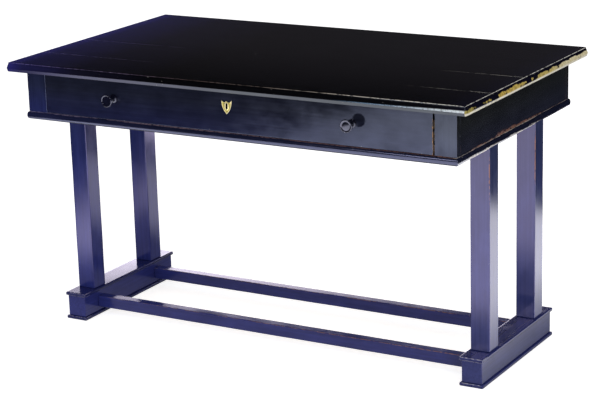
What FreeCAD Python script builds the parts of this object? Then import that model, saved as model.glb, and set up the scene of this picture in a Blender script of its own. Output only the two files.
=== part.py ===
# Captain's writing desk: a planked top with a moulded edge, a case with one long drawer,
# and a trestle base of paired posts on moulded feet, tied by two low stretchers.
# Millimetres. +X is the sitter's right, -Y the front and +Z up. The origin is on the floor
# under the middle of the top.

import FreeCAD, Part
import math
import os
import re
import Sketcher
from FreeCAD import Placement, Rotation, Vector

SIZES = {
    # The whole desk
    "overall_width": 1346.0,
    "overall_depth": 768.0,
    "overall_height": 762.0,
    # Top: four boards, tongued together, with a nosed edge under a small quirk
    "top_thickness": 24.0,
    "nose_projection": 5.0,
    "quirk_depth": 3.5,
    "top_corner_round": 4.0,
    "moulding_bite": 1.0,
    "front_board_width": 157.0,
    "second_board_width": 194.0,
    "third_board_width": 192.0,
    "tongue_length": 9.0,
    "tongue_thickness": 8.0,
    "seam_depth": 0.8,
    # How far the top stands out over the case: at the front and back, and at the ends
    "overhang": 37.0,
    "end_overhang": 42.0,
    # Case
    "case_height": 112.0,
    "panel_thickness": 18.0,
    "front_thickness": 20.0,
    "stile_width": 59.2,
    "panel_tongue": 8.0,
    "panel_tongue_thickness": 6.0,
    "corner_block": 30.0,
    # Bottom frame and its bead
    "frame_thickness": 20.0,
    "rail_width": 48.0,
    "rail_tenon_length": 15.0,
    "rail_tenon_thickness": 6.0,
    "rail_tenon_shoulder": 6.0,
    "bead_projection": 4.5,
    "bead_root": 8.0,
    "runner_margin": 12.0,
    # Battens that hold the boards together and keep the drawer from tipping
    "batten_width": 48.0,
    "batten_thickness": 20.0,
    "batten_setback": 8.0,
    "batten_screw_bite": 14.0,
    # Wooden buttons that hold the top to the case
    "button_width": 30.0,
    "button_tongue": 6.0,
    "button_tongue_thickness": 8.0,
    "button_gap": 6.0,
    # Trestles
    "post_width": 53.0,
    "post_inset": 0.5,
    "post_spacing": 285.0,
    "arris_round": 2.0,
    "tenon_thickness": 20.0,
    "tenon_width": 36.0,
    "block_floor": 7.0,
    "tenon_reach": 32.0,
    "bearer_height": 50.0,
    "bearer_screw_bite": 10.0,
    "bearer_screw_inset": 40.0,
    "foot_width": 56.0,
    "foot_toe": 51.5,
    "foot_height": 78.0,
    "lip_thickness": 9.5,
    "lip_projection": 5.0,
    "lip_round": 3.0,
    "stretcher_height": 32.0,
    "stretcher_depth": 28.0,
    "stretcher_rise": 22.0,
    "stub_wall": 3.0,
    "stub_shoulder": 5.0,
    # Drawer
    "drawer_gap": 1.5,
    "drawer_foot_gap": 1.0,
    "drawer_back_space": 90.0,
    "side_thickness": 12.0,
    "drawer_back_thickness": 14.0,
    "drawer_back_drop": 8.0,
    "housing_depth": 4.0,
    "bottom_thickness": 6.0,
    "bottom_rise": 10.0,
    "groove_depth": 6.0,
    "muntin_width": 50.0,
    "muntin_cheek": 3.0,
    "tail_width": 16.0,
    "tail_flare": 2.0,
    "dovetail_lap": 6.0,
    "stop_thickness": 8.0,
    "stop_length": 50.0,
    "stop_width": 18.0,
    "stop_spacing": 500.0,
    # Turned knobs
    "knob_spacing": 704.0,
    "knob_rise": 59.0,
    "knob_diameter": 34.0,
    "knob_projection": 36.0,
    "knob_dome": 2.5,
    "knob_rim": 7.0,
    "knob_rim_rise": 3.2,
    "knob_base_diameter": 22.0,
    "knob_base_thickness": 3.0,
    "knob_cove": 5.5,
    "spigot_diameter": 11.0,
    "spigot_length": 17.0,
    # Lock, keeper and escutcheon
    "lock_offset": 6.5,
    "lock_width": 60.0,
    "lock_height": 64.0,
    "lock_depth": 12.0,
    "plate_margin": 7.0,
    "plate_thickness": 1.5,
    "bolt_width": 20.0,
    "bolt_thickness": 5.0,
    "bolt_length": 30.0,
    "keyhole_drop": 41.3,
    "keyhole_width": 6.2,
    "keyhole_height": 16.0,
    "keyhole_reach": 7.0,
    "keeper_width": 54.0,
    "keeper_depth": 14.0,
    "keeper_thickness": 2.0,
    "keeper_mortise": 12.0,
    "escutcheon_width": 30.0,
    "escutcheon_height": 35.0,
    "escutcheon_thickness": 1.2,
    "escutcheon_drop": 2.6,
    "scoop_depth": 5.0,
    "scoop_curve": 1.6,
    "bump_width": 8.0,
    "bump_rise": 2.6,
    "shield_curve": 4.2,
    "pin_diameter": 1.2,
    "pin_head_diameter": 2.4,
    "pin_head_height": 0.6,
    "pin_length": 9.0,
    "pin_inset": 4.5,
    # Screws
    "screw_diameter": 4.0,
    "screw_head_diameter": 8.0,
    "screw_head_height": 2.4,
    "small_screw_diameter": 2.0,
    "small_screw_head_diameter": 4.0,
    "small_screw_head_height": 1.0,
    "small_screw_length": 9.0,
    # Fits
    "joint_clearance": 0.2,
    "bolt_clearance": 0.3,
    "runner_clearance": 0.3,
    "kicker_clearance": 1.5,
    "hole_clearance": 0.15,
}

DERIVED = {
    # Levels
    "top_base": "overall_height - top_thickness",
    "case_base": "top_base - case_height",
    "frame_base": "case_base - frame_thickness",
    "batten_base": "top_base - batten_thickness",
    "tongue_base": "top_base + (top_thickness - tongue_thickness) / 2",
    # Faces of the case
    "case_half": "overall_width / 2 - end_overhang",
    "case_front": "overhang - overall_depth / 2",
    "case_back": "overall_depth / 2 - overhang",
    "end_inside": "case_half - panel_thickness",
    "front_inside": "case_front + front_thickness",
    "back_inside": "case_back - panel_thickness",
    "opening_half": "case_half - stile_width",
    # Seams between the boards
    "first_seam": "front_board_width - overall_depth / 2",
    "second_seam": "first_seam + second_board_width",
    "third_seam": "second_seam + third_board_width",
    # Bottom frame
    "frame_half": "case_half - bead_root",
    "frame_front": "case_front + bead_root",
    "frame_back": "case_back - bead_root",
    "rail_front": "frame_front + rail_width",
    "rail_back": "frame_back - rail_width",
    "rail_tenon_base": "frame_base + (frame_thickness - rail_tenon_thickness) / 2",
    "bead_reach": "bead_root + bead_projection",
    # Trestles
    "post_inner": "case_half + bead_projection - post_inset - post_width",
    "post_across": "post_inner + post_width / 2",
    "post_half_spacing": "post_spacing / 2",
    "bearer_across": "(post_inner + end_inside) / 2",
    "bearer_front": "front_inside + corner_block",
    "bearer_back": "back_inside - corner_block",
    "foot_length": "post_spacing + post_width + 2 * foot_toe",
    "foot_inner": "post_across - foot_width / 2",
    "tenon_floor": "lip_thickness + block_floor",
    "stub_length": "(foot_width - tenon_thickness) / 2 - stub_wall",
    "stub_depth": "stretcher_depth - 2 * stub_shoulder",
    "stub_height": "stretcher_height - 2 * stub_shoulder",
    "stretcher_middle": "stretcher_rise + stretcher_height / 2",
    # Drawer
    "drawer_half": "opening_half - drawer_gap",
    "drawer_inside": "drawer_half - side_thickness",
    "drawer_base": "case_base + runner_clearance",
    "drawer_top": "top_base - drawer_gap",
    "side_top": "batten_base - kicker_clearance",
    "side_height": "side_top - drawer_base",
    "drawer_end": "back_inside - drawer_back_space",
    "drawer_back_front": "drawer_end - drawer_back_thickness",
    "bottom_base": "drawer_base + bottom_rise",
    "bottom_top": "bottom_base + bottom_thickness",
    "groove_front": "front_inside - groove_depth",
    "socket_front": "case_front + dovetail_lap",
    # Battens and buttons
    "batten_front": "front_inside + batten_setback",
    "batten_back": "back_inside - batten_setback",
    "batten_inner": "drawer_half - batten_width",
    "button_length": "end_inside - drawer_half - button_gap",
    "button_groove_top": "batten_base + button_tongue_thickness",
    # Lock
    "lock_middle": "front_inside - lock_depth / 2",
    "lock_front": "front_inside - lock_depth",
    "lock_base": "drawer_top - lock_height",
    "plate_back": "front_inside + plate_thickness",
    "plate_half": "lock_width / 2 + plate_margin",
    "bolt_base": "drawer_top - bolt_length",
    "keyhole_level": "drawer_top - keyhole_drop",
    "escutcheon_level": "keyhole_level - escutcheon_drop",
    "rim_end": "knob_projection - knob_dome",
    "rim_radius": "knob_diameter / 2 - knob_rim_rise",
    "face_radius": "(rim_radius ^ 2 + knob_dome ^ 2) / (2 * knob_dome)",
    "face_rise": "face_radius - sqrt(face_radius ^ 2 - (rim_radius ^ 2 + knob_dome ^ 2) / 4)",
}

SIDES = (("left", -1), ("right", 1))
ENDS = (("front", -1), ("back", 1))

doc = FreeCAD.newDocument("CaptainsDesk")
sheet = doc.addObject("Spreadsheet::Sheet", "Sizes")
for row, (alias, value) in enumerate(SIZES.items(), start=1):
    sheet.set(f"A{row}", alias)
    sheet.set(f"B{row}", str(value))
    sheet.setAlias(f"B{row}", alias)
doc.recompute()

pieces = []


def expression(text):
    """Write a formula of size names as an expression on the sheet."""
    def swap(match):
        name = match.group()
        if name in DERIVED:
            return f"({expression(DERIVED[name])})"
        return f"Sizes.{name}" if name in SIZES else name
    return re.sub(r"[a-z_]+", swap, text)


def number(text):
    """The present value of a formula, for a sketch's first guess."""
    return float(sheet.evalExpression(expression(text)))


def bind(item, **formulas):
    """Tie properties of an object to the sheet."""
    for name, text in formulas.items():
        item.setExpression(name, expression(text))
    return item


def place(item, x="0", y="0", z="0"):
    """Tie an object's position to the sheet."""
    for axis, text in zip("xyz", (x, y, z)):
        item.setExpression(f"Placement.Base.{axis}", expression(text))
    return item


def turn(item, axis, degrees):
    """Turn an object about its own origin."""
    item.Placement = Placement(Vector(), Rotation(axis, degrees))
    return item


def keep(item, solids=1):
    """List an object as a finished piece of the desk, with the solids it should hold."""
    pieces.append((item, solids))
    return item


def sided(sign, inner, outer):
    """The limits of a span on the left or right of the desk, given for the right."""
    return (inner, outer) if sign > 0 else (f"-({outer})", f"-({inner})")


def around(middle, width):
    """The limits of a width about a middle."""
    return f"{middle} - ({width}) / 2", f"{middle} + ({width}) / 2"


def box(name, x, y, z):
    """A block between two limits on each axis."""
    block = doc.addObject("Part::Box", name)
    for size, (low, high) in zip(("Length", "Width", "Height"), (x, y, z)):
        bind(block, **{size: f"({high}) - ({low})"})
    return place(block, x[0], y[0], z[0])


def join(name, *items):
    """One solid from several that touch or overlap."""
    fused = doc.addObject("Part::MultiFuse", name)
    fused.Shapes = list(items)
    return fused


def group(name, *items):
    """Separate solids held under one name."""
    held = doc.addObject("Part::Compound", name)
    held.Links = list(items)
    return held


def cut(name, base, *tools):
    """A solid with others taken out of it."""
    hollowed = doc.addObject("Part::Cut", name)
    hollowed.Base = base
    hollowed.Tool = tools[0] if len(tools) == 1 else group(f"{name}_hollows", *tools)
    return hollowed


def shared(name, first, second):
    """The part of one solid that lies inside another."""
    overlap = doc.addObject("Part::Common", name)
    overlap.Base = first
    overlap.Tool = second
    return overlap


def sketch_on(body, role, name):
    """A sketch on one of a body's own origin planes."""
    plane = next(item for item in body.Origin.OriginFeatures if item.Role == role)
    sketch = body.newObject("Sketcher::SketchObject", name)
    sketch.AttachmentSupport = (plane, [""])
    sketch.MapMode = "FlatFace"
    return sketch


def fix(sketch, name, text, kind, *where):
    """Add a named dimension to a sketch and tie it to the sheet."""
    index = sketch.addConstraint(Sketcher.Constraint(kind, *where, number(text)))
    sketch.renameConstraint(index, name)
    sketch.setExpression(f"Constraints.{name}", expression(text))


def outline(sketch, corners, bulges):
    """Close an outline anticlockwise through the corners. A side with a bulge is an arc that
    rises by that much from its chord, outwards where positive and inwards where negative."""
    points = [Vector(number(x), number(y), 0) for x, y in corners]
    count = len(points)
    sides = []
    for index in range(count):
        start = points[index]
        end = points[(index + 1) % count]
        if index not in bulges:
            sides.append((sketch.addGeometry(Part.LineSegment(start, end), False), 1, 2))
            continue
        rise = number(bulges[index])
        chord = end - start
        outward = Vector(chord.y, -chord.x, 0).normalize()
        radius = (chord.Length ** 2 / 4 + rise ** 2) / (2 * abs(rise))
        centre = (start + end) * 0.5 + outward * (rise - math.copysign(radius, rise))
        first, last = (start, end) if rise > 0 else (end, start)
        angles = [math.atan2(point.y - centre.y, point.x - centre.x) for point in (first, last)]
        arc = Part.ArcOfCircle(Part.Circle(centre, Vector(0, 0, 1), radius), *angles)
        places = (1, 2) if rise > 0 else (2, 1)
        sides.append((sketch.addGeometry(arc, False), *places))
    for index, (x, y) in enumerate(corners):
        side, start, end = sides[index]
        following, following_start, _ = sides[(index + 1) % count]
        sketch.addConstraint(Sketcher.Constraint("Coincident", side, end, following, following_start))
        fix(sketch, f"corner_{index}_x", x, "DistanceX", -1, 1, side, start)
        fix(sketch, f"corner_{index}_y", y, "DistanceY", -1, 1, side, start)
    for index, rise in bulges.items():
        x, y = corners[index]
        next_x, next_y = corners[(index + 1) % count]
        square = f"((({next_x}) - ({x})) ^ 2 + (({next_y}) - ({y})) ^ 2)"
        radius = f"({square} / 4 + ({rise}) ^ 2) / (2 * abs({rise}))"
        fix(sketch, f"radius_{index}", radius, "Radius", sides[index][0])


def rounded_rectangle(sketch, width, height, rounding):
    """A rectangle about the sketch's origin with its corners rounded."""
    half_width = number(width) / 2
    half_height = number(height) / 2
    radius = number(rounding)
    arcs = []
    for quarter, (across, up) in enumerate(((1, -1), (1, 1), (-1, 1), (-1, -1))):
        centre = Vector(across * (half_width - radius), up * (half_height - radius), 0)
        begin = (quarter - 1) * math.pi / 2
        circle = Part.Circle(centre, Vector(0, 0, 1), radius)
        arcs.append(sketch.addGeometry(Part.ArcOfCircle(circle, begin, begin + math.pi / 2), False))
    lines = []
    for index, arc in enumerate(arcs):
        following = arcs[(index + 1) % 4]
        line = Part.LineSegment(sketch.Geometry[arc].EndPoint, sketch.Geometry[following].StartPoint)
        lines.append(sketch.addGeometry(line, False))
    for index, line in enumerate(lines):
        following = arcs[(index + 1) % 4]
        sketch.addConstraint(Sketcher.Constraint("Tangent", arcs[index], 2, line, 1))
        sketch.addConstraint(Sketcher.Constraint("Tangent", line, 2, following, 1))
        sketch.addConstraint(Sketcher.Constraint("Horizontal" if index % 2 else "Vertical", line))
    for arc in arcs[1:]:
        sketch.addConstraint(Sketcher.Constraint("Equal", arcs[0], arc))
    fix(sketch, "rounding", rounding, "Radius", arcs[0])
    fix(sketch, "right", f"({width}) / 2", "DistanceX", -1, 1, lines[0], 1)
    fix(sketch, "top", f"({height}) / 2", "DistanceY", -1, 1, lines[1], 1)
    fix(sketch, "left", f"({width}) / 2", "DistanceX", lines[2], 1, -1, 1)
    fix(sketch, "bottom", f"({height}) / 2", "DistanceY", lines[3], 1, -1, 1)


def bar(name, role, width, height, length, rounding):
    """A straight bar with rounded arrises: its section on an origin plane, padded to its length."""
    body = doc.addObject("PartDesign::Body", name)
    section = sketch_on(body, role, f"{name}_section")
    rounded_rectangle(section, width, height, rounding)
    pad = body.newObject("PartDesign::Pad", f"{name}_length")
    pad.Profile = section
    bind(pad, Length=length)
    return body


def nosed_ring(name, path, edges, section, height, projection, root):
    """A rounded nose carried round a path, from its section at the path's right-hand side."""
    corners = [(f"-({root})", "0"), ("0", "0"), ("0", height), (f"-({root})", height)]
    outline(section, corners, {1: projection})
    ring = doc.addObject("Part::Sweep", name)
    ring.Sections = [section]
    ring.Spine = (path, [f"Edge{index + 1}" for index in range(edges)])
    ring.Solid = True
    ring.Transition = "Right corner"
    return ring


def section_at(name, x, y, z):
    """A sketch that stands across a path's right-hand side: its own x outwards, its own y up."""
    sketch = doc.addObject("Sketcher::SketchObject", name)
    turn(sketch, Vector(1, 0, 0), 90)
    return place(sketch, x, y, z)


def screw(name, at, length, axis, degrees, gap="0", kind="screw"):
    """A countersunk screw with its head's face at a point, or its hole where a gap is given."""
    shank = doc.addObject("Part::Cylinder", f"{name}_shank")
    bind(shank, Radius=f"{kind}_diameter / 2 + {gap}", Height=f"{length} + {gap}")
    head = doc.addObject("Part::Cone", f"{name}_head")
    bind(head, Radius1=f"{kind}_head_diameter / 2 + {gap}", Radius2=f"{kind}_diameter / 2 + {gap}",
         Height=f"{kind}_head_height")
    return place(turn(join(name, shank, head), axis, degrees), *at)


def screws(node, places, length, axis, degrees, kind="screw"):
    """A group of like screws as one piece, and the holes that they need."""
    held = [screw(f"{node}_{index}", at, length, axis, turned, "0", kind)
            for index, (at, turned) in enumerate(zip(places, degrees))]
    holes = [screw(f"{node}_hole_{index}", at, length, axis, turned, "hole_clearance", kind)
             for index, (at, turned) in enumerate(zip(places, degrees))]
    keep(group(node, *held), len(held))
    return group(f"{node}_holes", *holes)


# Battens and wooden buttons under the top, with the screws that hold them

board_seams = ["-overall_depth / 2", "first_seam", "second_seam", "third_seam", "overall_depth / 2"]
screw_rows = ["(batten_front + first_seam) / 2", "(first_seam + second_seam) / 2",
              "(second_seam + third_seam) / 2", "(third_seam + batten_back) / 2"]
batten_places = {
    "left": ("-drawer_half", "-batten_inner"),
    "middle": around("0", "batten_width"),
    "right": ("batten_inner", "drawer_half"),
}
batten_screw_places = [(f"(({low}) + ({high})) / 2", row, "batten_base")
                       for low, high in batten_places.values() for row in screw_rows]
batten_holes = screws("batten_screws", batten_screw_places, "batten_thickness + batten_screw_bite",
                      Vector(0, 0, 1), [0] * len(batten_screw_places))
for side, across in batten_places.items():
    blank = box(f"top_batten_{side}_blank", across, ("batten_front", "batten_back"),
                ("batten_base", "top_base"))
    keep(cut(f"top_batten_{side}", blank, batten_holes))


def button_at(name, block, tongue):
    """A wooden button: a block under the top with a tongue that reaches into a panel's groove."""
    body = box(f"{name}_block", *block, ("batten_base", "top_base"))
    lip = box(f"{name}_tongue", *tongue, ("batten_base", "button_groove_top"))
    return join(name, body, lip)


button_blanks = []
button_screw_places = []
for side, sign in SIDES:
    for step, row in enumerate(screw_rows):
        block = sided(sign, "end_inside - button_length", "end_inside")
        tongue = sided(sign, "end_inside - button_length", "end_inside + button_tongue - joint_clearance")
        width = around(row, "button_width")
        button_blanks.append(button_at(f"button_{side}_{step}", (block, width), (tongue, width)))
        button_screw_places.append((f"({block[0]} + {block[1]}) / 2", row, "batten_base"))
for step in (-3, -1, 1, 3):
    column = f"{step} * batten_inner / 4"
    block = ("back_inside - button_length", "back_inside")
    tongue = ("back_inside - button_length", "back_inside + button_tongue - joint_clearance")
    width = around(column, "button_width")
    button_blanks.append(button_at(f"button_back_{(step + 3) // 2}", (width, block), (width, tongue)))
    button_screw_places.append((column, f"({block[0]} + {block[1]}) / 2", "batten_base"))
button_holes = screws("button_screws", button_screw_places, "batten_thickness + batten_screw_bite",
                      Vector(0, 0, 1), [0] * len(button_screw_places))
keep(cut("top_buttons", group("button_blanks", *button_blanks), button_holes), len(button_blanks))

# Lock keeper let into the underside of the front board

bolt_room = (around("-lock_offset", "bolt_width + 2 * bolt_clearance"),
             around("lock_middle", "bolt_thickness + 2 * bolt_clearance"))
keeper_screw_places = [(f"-lock_offset + {sign} * (keeper_width + bolt_width) / 4",
                        "lock_middle", "top_base") for _, sign in SIDES]
keeper_holes = screws("keeper_screws", keeper_screw_places, "small_screw_length", Vector(0, 0, 1),
                      [0, 0], "small_screw")
keeper_blank = box("keeper_blank", around("-lock_offset", "keeper_width"),
                   around("lock_middle", "keeper_depth"), ("top_base", "top_base + keeper_thickness"))
keeper_slot = box("keeper_slot", *bolt_room, ("top_base", "top_base + keeper_thickness"))
keep(cut("lock_keeper", keeper_blank, keeper_slot, keeper_holes))
keeper_seat = box("keeper_seat", around("-lock_offset", "keeper_width + 2 * joint_clearance"),
                  around("lock_middle", "keeper_depth + 2 * joint_clearance"),
                  ("top_base", "top_base + keeper_thickness"))
keeper_mortise = box("keeper_mortise", *bolt_room,
                     ("top_base + keeper_thickness", "top_base + keeper_mortise"))

# Top boards, cut from one moulded blank

top_path = doc.addObject("Sketcher::SketchObject", "top_outline")
rounded_rectangle(top_path, "overall_width - 2 * nose_projection",
                  "overall_depth - 2 * nose_projection", "top_corner_round")
place(top_path, z="top_base")
top_core = doc.addObject("Part::Extrusion", "top_core")
top_core.Base = top_path
top_core.Dir = Vector(0, 0, 1)
top_core.Solid = True
bind(top_core, LengthFwd="top_thickness")
nose_section = section_at("top_nose_section", "overall_width / 2 - nose_projection", "0", "top_base")
top_nose = nosed_ring("top_nose", top_path, 8, nose_section, "top_thickness - quirk_depth",
                      "nose_projection", "moulding_bite")
top_blank = join("top_blank", top_core, top_nose)

top_span = around("0", "overall_width")
top_rise = ("top_base", "overall_height")
seam_tongues = {}
seam_grooves = {}
seam_vees = {}
for index, seam in enumerate(board_seams[1:-1]):
    seam_tongues[index] = box(f"seam_tongue_{index}", top_span, (seam, f"{seam} + tongue_length"),
                              ("tongue_base", "tongue_base + tongue_thickness"))
    seam_grooves[index] = box(f"seam_groove_{index}", top_span,
                              (seam, f"{seam} + tongue_length + joint_clearance"),
                              ("tongue_base - joint_clearance",
                               "tongue_base + tongue_thickness + joint_clearance"))
    vee = doc.addObject("Part::Box", f"seam_vee_{index}")
    bind(vee, Length="overall_width", Width="2 * seam_depth", Height="2 * seam_depth")
    turn(vee, Vector(1, 0, 0), 45)
    seam_vees[index] = place(vee, "-overall_width / 2", seam, "overall_height - seam_depth")

for index, name in enumerate(("front", "second", "third", "back")):
    slab = box(f"board_slab_{name}", top_span, (board_seams[index], board_seams[index + 1]), top_rise)
    if index in seam_tongues:
        slab = join(f"board_tongued_{name}", slab, seam_tongues[index])
    hollows = [batten_holes, button_holes]
    hollows += [seam_vees[seam] for seam in (index - 1, index) if seam in seam_vees]
    if index - 1 in seam_grooves:
        hollows.append(seam_grooves[index - 1])
    if index == 0:
        hollows += [keeper_seat, keeper_mortise, keeper_holes]
    keep(cut(f"top_board_{name}", shared(f"board_moulded_{name}", top_blank, slab), *hollows))

# Case: two front stiles, two ends, a back and glue blocks in the corners

case_rise = ("case_base", "top_base")
bearer_screw_places = []
bearer_screw_turns = []
for side, sign in SIDES:
    for row in ("bearer_front + bearer_screw_inset", "(bearer_front + bearer_back) / 2",
                "bearer_back - bearer_screw_inset"):
        bearer_screw_places.append((f"{sign} * opening_half", row, "case_base + bearer_height / 2"))
        bearer_screw_turns.append(90 * sign)
bearer_holes = screws("bearer_screws", bearer_screw_places,
                      "end_inside - opening_half + bearer_screw_bite",
                      Vector(0, 1, 0), bearer_screw_turns)
end_grooves = []
for side, sign in SIDES:
    end_across = sided(sign, "end_inside", "case_half")
    tongue_across = around(f"{sign} * (case_half - panel_thickness / 2)", "panel_tongue_thickness")
    groove_across = around(f"{sign} * (case_half - panel_thickness / 2)",
                           "panel_tongue_thickness + 2 * joint_clearance")
    blank = join(f"end_panel_{side}_blank",
                 box(f"end_panel_{side}_board", end_across, ("front_inside", "back_inside"), case_rise),
                 box(f"end_panel_{side}_tongue", tongue_across,
                     ("front_inside - panel_tongue", "back_inside + panel_tongue"), case_rise))
    button_groove = box(f"end_panel_{side}_groove",
                        sided(sign, "end_inside", "end_inside + button_tongue"),
                        ("front_inside", "back_inside"),
                        ("batten_base - joint_clearance", "button_groove_top + joint_clearance"))
    keep(cut(f"end_panel_{side}", blank, button_groove, bearer_holes))
    stile = box(f"front_stile_{side}_board", sided(sign, "opening_half", "case_half"),
                ("case_front", "front_inside"), case_rise)
    stile_groove = box(f"front_stile_{side}_groove", groove_across,
                       ("front_inside - panel_tongue - joint_clearance", "front_inside"), case_rise)
    keep(cut(f"front_stile_{side}", stile, stile_groove))
    end_grooves.append(box(f"back_panel_{side}_groove", groove_across,
                           ("back_inside", "back_inside + panel_tongue + joint_clearance"), case_rise))
back_board = box("back_panel_board", around("0", "2 * case_half"), ("back_inside", "case_back"),
                 case_rise)
back_groove = box("back_panel_button_groove", around("0", "2 * (end_inside - panel_tongue)"),
                  ("back_inside", "back_inside + button_tongue"),
                  ("batten_base - joint_clearance", "button_groove_top + joint_clearance"))
keep(cut("back_panel", back_board, back_groove, *end_grooves))
corner_blocks = []
corner_depths = {"front": ("front_inside", "bearer_front"), "back": ("bearer_back", "back_inside")}
for side, sign in SIDES:
    for end, depth in corner_depths.items():
        corner_blocks.append(box(f"corner_block_{end}_{side}",
                                 sided(sign, "end_inside - corner_block", "end_inside"), depth,
                                 ("case_base", "batten_base - drawer_gap")))
keep(group("corner_blocks", *corner_blocks), len(corner_blocks))

# Trestles: feet of a sole, a block and a cap; posts tenoned into foot and bearer; two stretchers

post_rows = {end: f"{sign} * post_half_spacing" for end, sign in ENDS}


def foot_lip(name, across, level):
    """A thin board round the top or bottom of a foot, with both its arrises rounded."""
    body = bar(name, "XY_Plane", "foot_width + 2 * lip_projection", "foot_length + 2 * lip_projection",
               "lip_thickness", "lip_round")
    doc.recompute()
    pad = body.Tip
    rims = [f"Edge{index + 1}" for index, edge in enumerate(pad.Shape.Edges)
            if edge.BoundBox.ZLength < edge.Length / 2]
    rounding = body.newObject("PartDesign::Fillet", f"{name}_round")
    rounding.Base = (pad, rims)
    bind(rounding, Radius="lip_round")
    body.Tip = rounding
    return place(body, across, "0", level)


for side, sign in SIDES:
    across = f"{sign} * post_across"
    bearer_middle = f"{sign} * bearer_across"
    foot_mortises = []
    rail_mortises = []
    for end, row in post_rows.items():
        node = f"post_{end}_{side}"
        shaft = bar(f"{node}_shaft", "XY_Plane", "post_width", "post_width", "frame_base - foot_height",
                    "arris_round")
        place(shaft, across, row, "foot_height")
        lower = box(f"{node}_foot_tenon", around(across, "tenon_thickness"), around(row, "tenon_width"),
                    ("tenon_floor", "foot_height"))
        upper = box(f"{node}_bearer_tenon", around(bearer_middle, "tenon_thickness"),
                    around(row, "tenon_width"), ("frame_base", "case_base + tenon_reach"))
        keep(join(node, shaft, lower, upper))
        mortise_row = around(row, "tenon_width + 2 * joint_clearance")
        foot_mortises.append(box(f"{node}_foot_mortise",
                                 around(across, "tenon_thickness + 2 * joint_clearance"), mortise_row,
                                 ("tenon_floor - joint_clearance", "foot_height")))
        rail_mortises.append(box(f"{node}_bearer_mortise",
                                 around(bearer_middle, "tenon_thickness + 2 * joint_clearance"),
                                 mortise_row,
                                 ("frame_base", "case_base + tenon_reach + joint_clearance")))
    foot_block = bar(f"foot_block_{side}_bar", "XY_Plane", "foot_width", "foot_length",
                     "foot_height - 2 * lip_thickness", "arris_round")
    place(foot_block, across, "0", "lip_thickness")
    stub_mortises = [box(f"foot_block_{side}_{end}_stub_mortise",
                         sided(sign, "foot_inner", "foot_inner + stub_length + joint_clearance"),
                         around(row, "stub_depth + 2 * joint_clearance"),
                         around("stretcher_middle", "stub_height + 2 * joint_clearance"))
                     for end, row in post_rows.items()]
    keep(cut(f"foot_block_{side}", foot_block, *foot_mortises, *stub_mortises))
    cap_blank = foot_lip(f"foot_cap_{side}_board", across, "foot_height - lip_thickness")
    keep(cut(f"foot_cap_{side}", cap_blank, *foot_mortises))
    keep(foot_lip(f"foot_sole_{side}", across, "0"))
    bearer = box(f"bearer_{side}_board", sided(sign, "opening_half", "end_inside"),
                 ("bearer_front", "bearer_back"), ("case_base", "case_base + bearer_height"))
    keep(cut(f"bearer_{side}", bearer, *rail_mortises, bearer_holes))
    rail = join(f"frame_rail_{side}_blank",
                box(f"frame_rail_{side}_board", sided(sign, "post_inner", "frame_half"),
                    ("rail_front", "rail_back"), ("frame_base", "case_base")),
                box(f"frame_rail_{side}_tenon",
                    sided(sign, "post_inner + rail_tenon_shoulder", "frame_half - rail_tenon_shoulder"),
                    ("rail_front - rail_tenon_length", "rail_back + rail_tenon_length"),
                    ("rail_tenon_base", "rail_tenon_base + rail_tenon_thickness")))
    keep(cut(f"frame_rail_{side}", rail, *rail_mortises))
    keep(box(f"drawer_runner_{side}", sided(sign, "drawer_inside - runner_margin", "post_inner"),
             ("rail_front", "rail_back"), ("frame_base", "case_base")))

for end, row in post_rows.items():
    rail = bar(f"stretcher_{end}_bar", "YZ_Plane", "stretcher_depth", "stretcher_height",
               "2 * foot_inner", "arris_round")
    place(rail, "-foot_inner", row, "stretcher_middle")
    stubs = box(f"stretcher_{end}_stubs", around("0", "2 * (foot_inner + stub_length)"),
                around(row, "stub_depth"), around("stretcher_middle", "stub_height"))
    keep(join(f"stretcher_{end}", rail, stubs))

# Bottom frame's long rails, mortised for the end rails, and the drawer stops on the front one

long_rails = {"front": ("frame_front", "rail_front"), "back": ("rail_back", "frame_back")}
mortise_depth = "rail_tenon_length + joint_clearance"
mortise_spans = {"front": (f"rail_front - ({mortise_depth})", "rail_front"),
                 "back": ("rail_back", f"rail_back + {mortise_depth}")}
for end, depth in long_rails.items():
    board = box(f"frame_rail_{end}_board", around("0", "2 * frame_half"), depth,
                ("frame_base", "case_base"))
    mortises = [box(f"frame_rail_{end}_mortise_{side}",
                    sided(sign, "post_inner + rail_tenon_shoulder - joint_clearance",
                          "frame_half - rail_tenon_shoulder + joint_clearance"),
                    mortise_spans[end],
                    ("rail_tenon_base - joint_clearance",
                     "rail_tenon_base + rail_tenon_thickness + joint_clearance"))
                for side, sign in SIDES]
    keep(cut(f"frame_rail_{end}", board, *mortises))
stops = [box(f"drawer_stop_{side}", around(f"{sign} * stop_spacing / 2", "stop_length"),
             ("front_inside + joint_clearance", "front_inside + joint_clearance + stop_width"),
             ("case_base", "case_base + stop_thickness"))
         for side, sign in SIDES]
keep(group("drawer_stops", *stops), len(stops))

# Bead round the foot of the case, mitred at the corners

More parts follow.
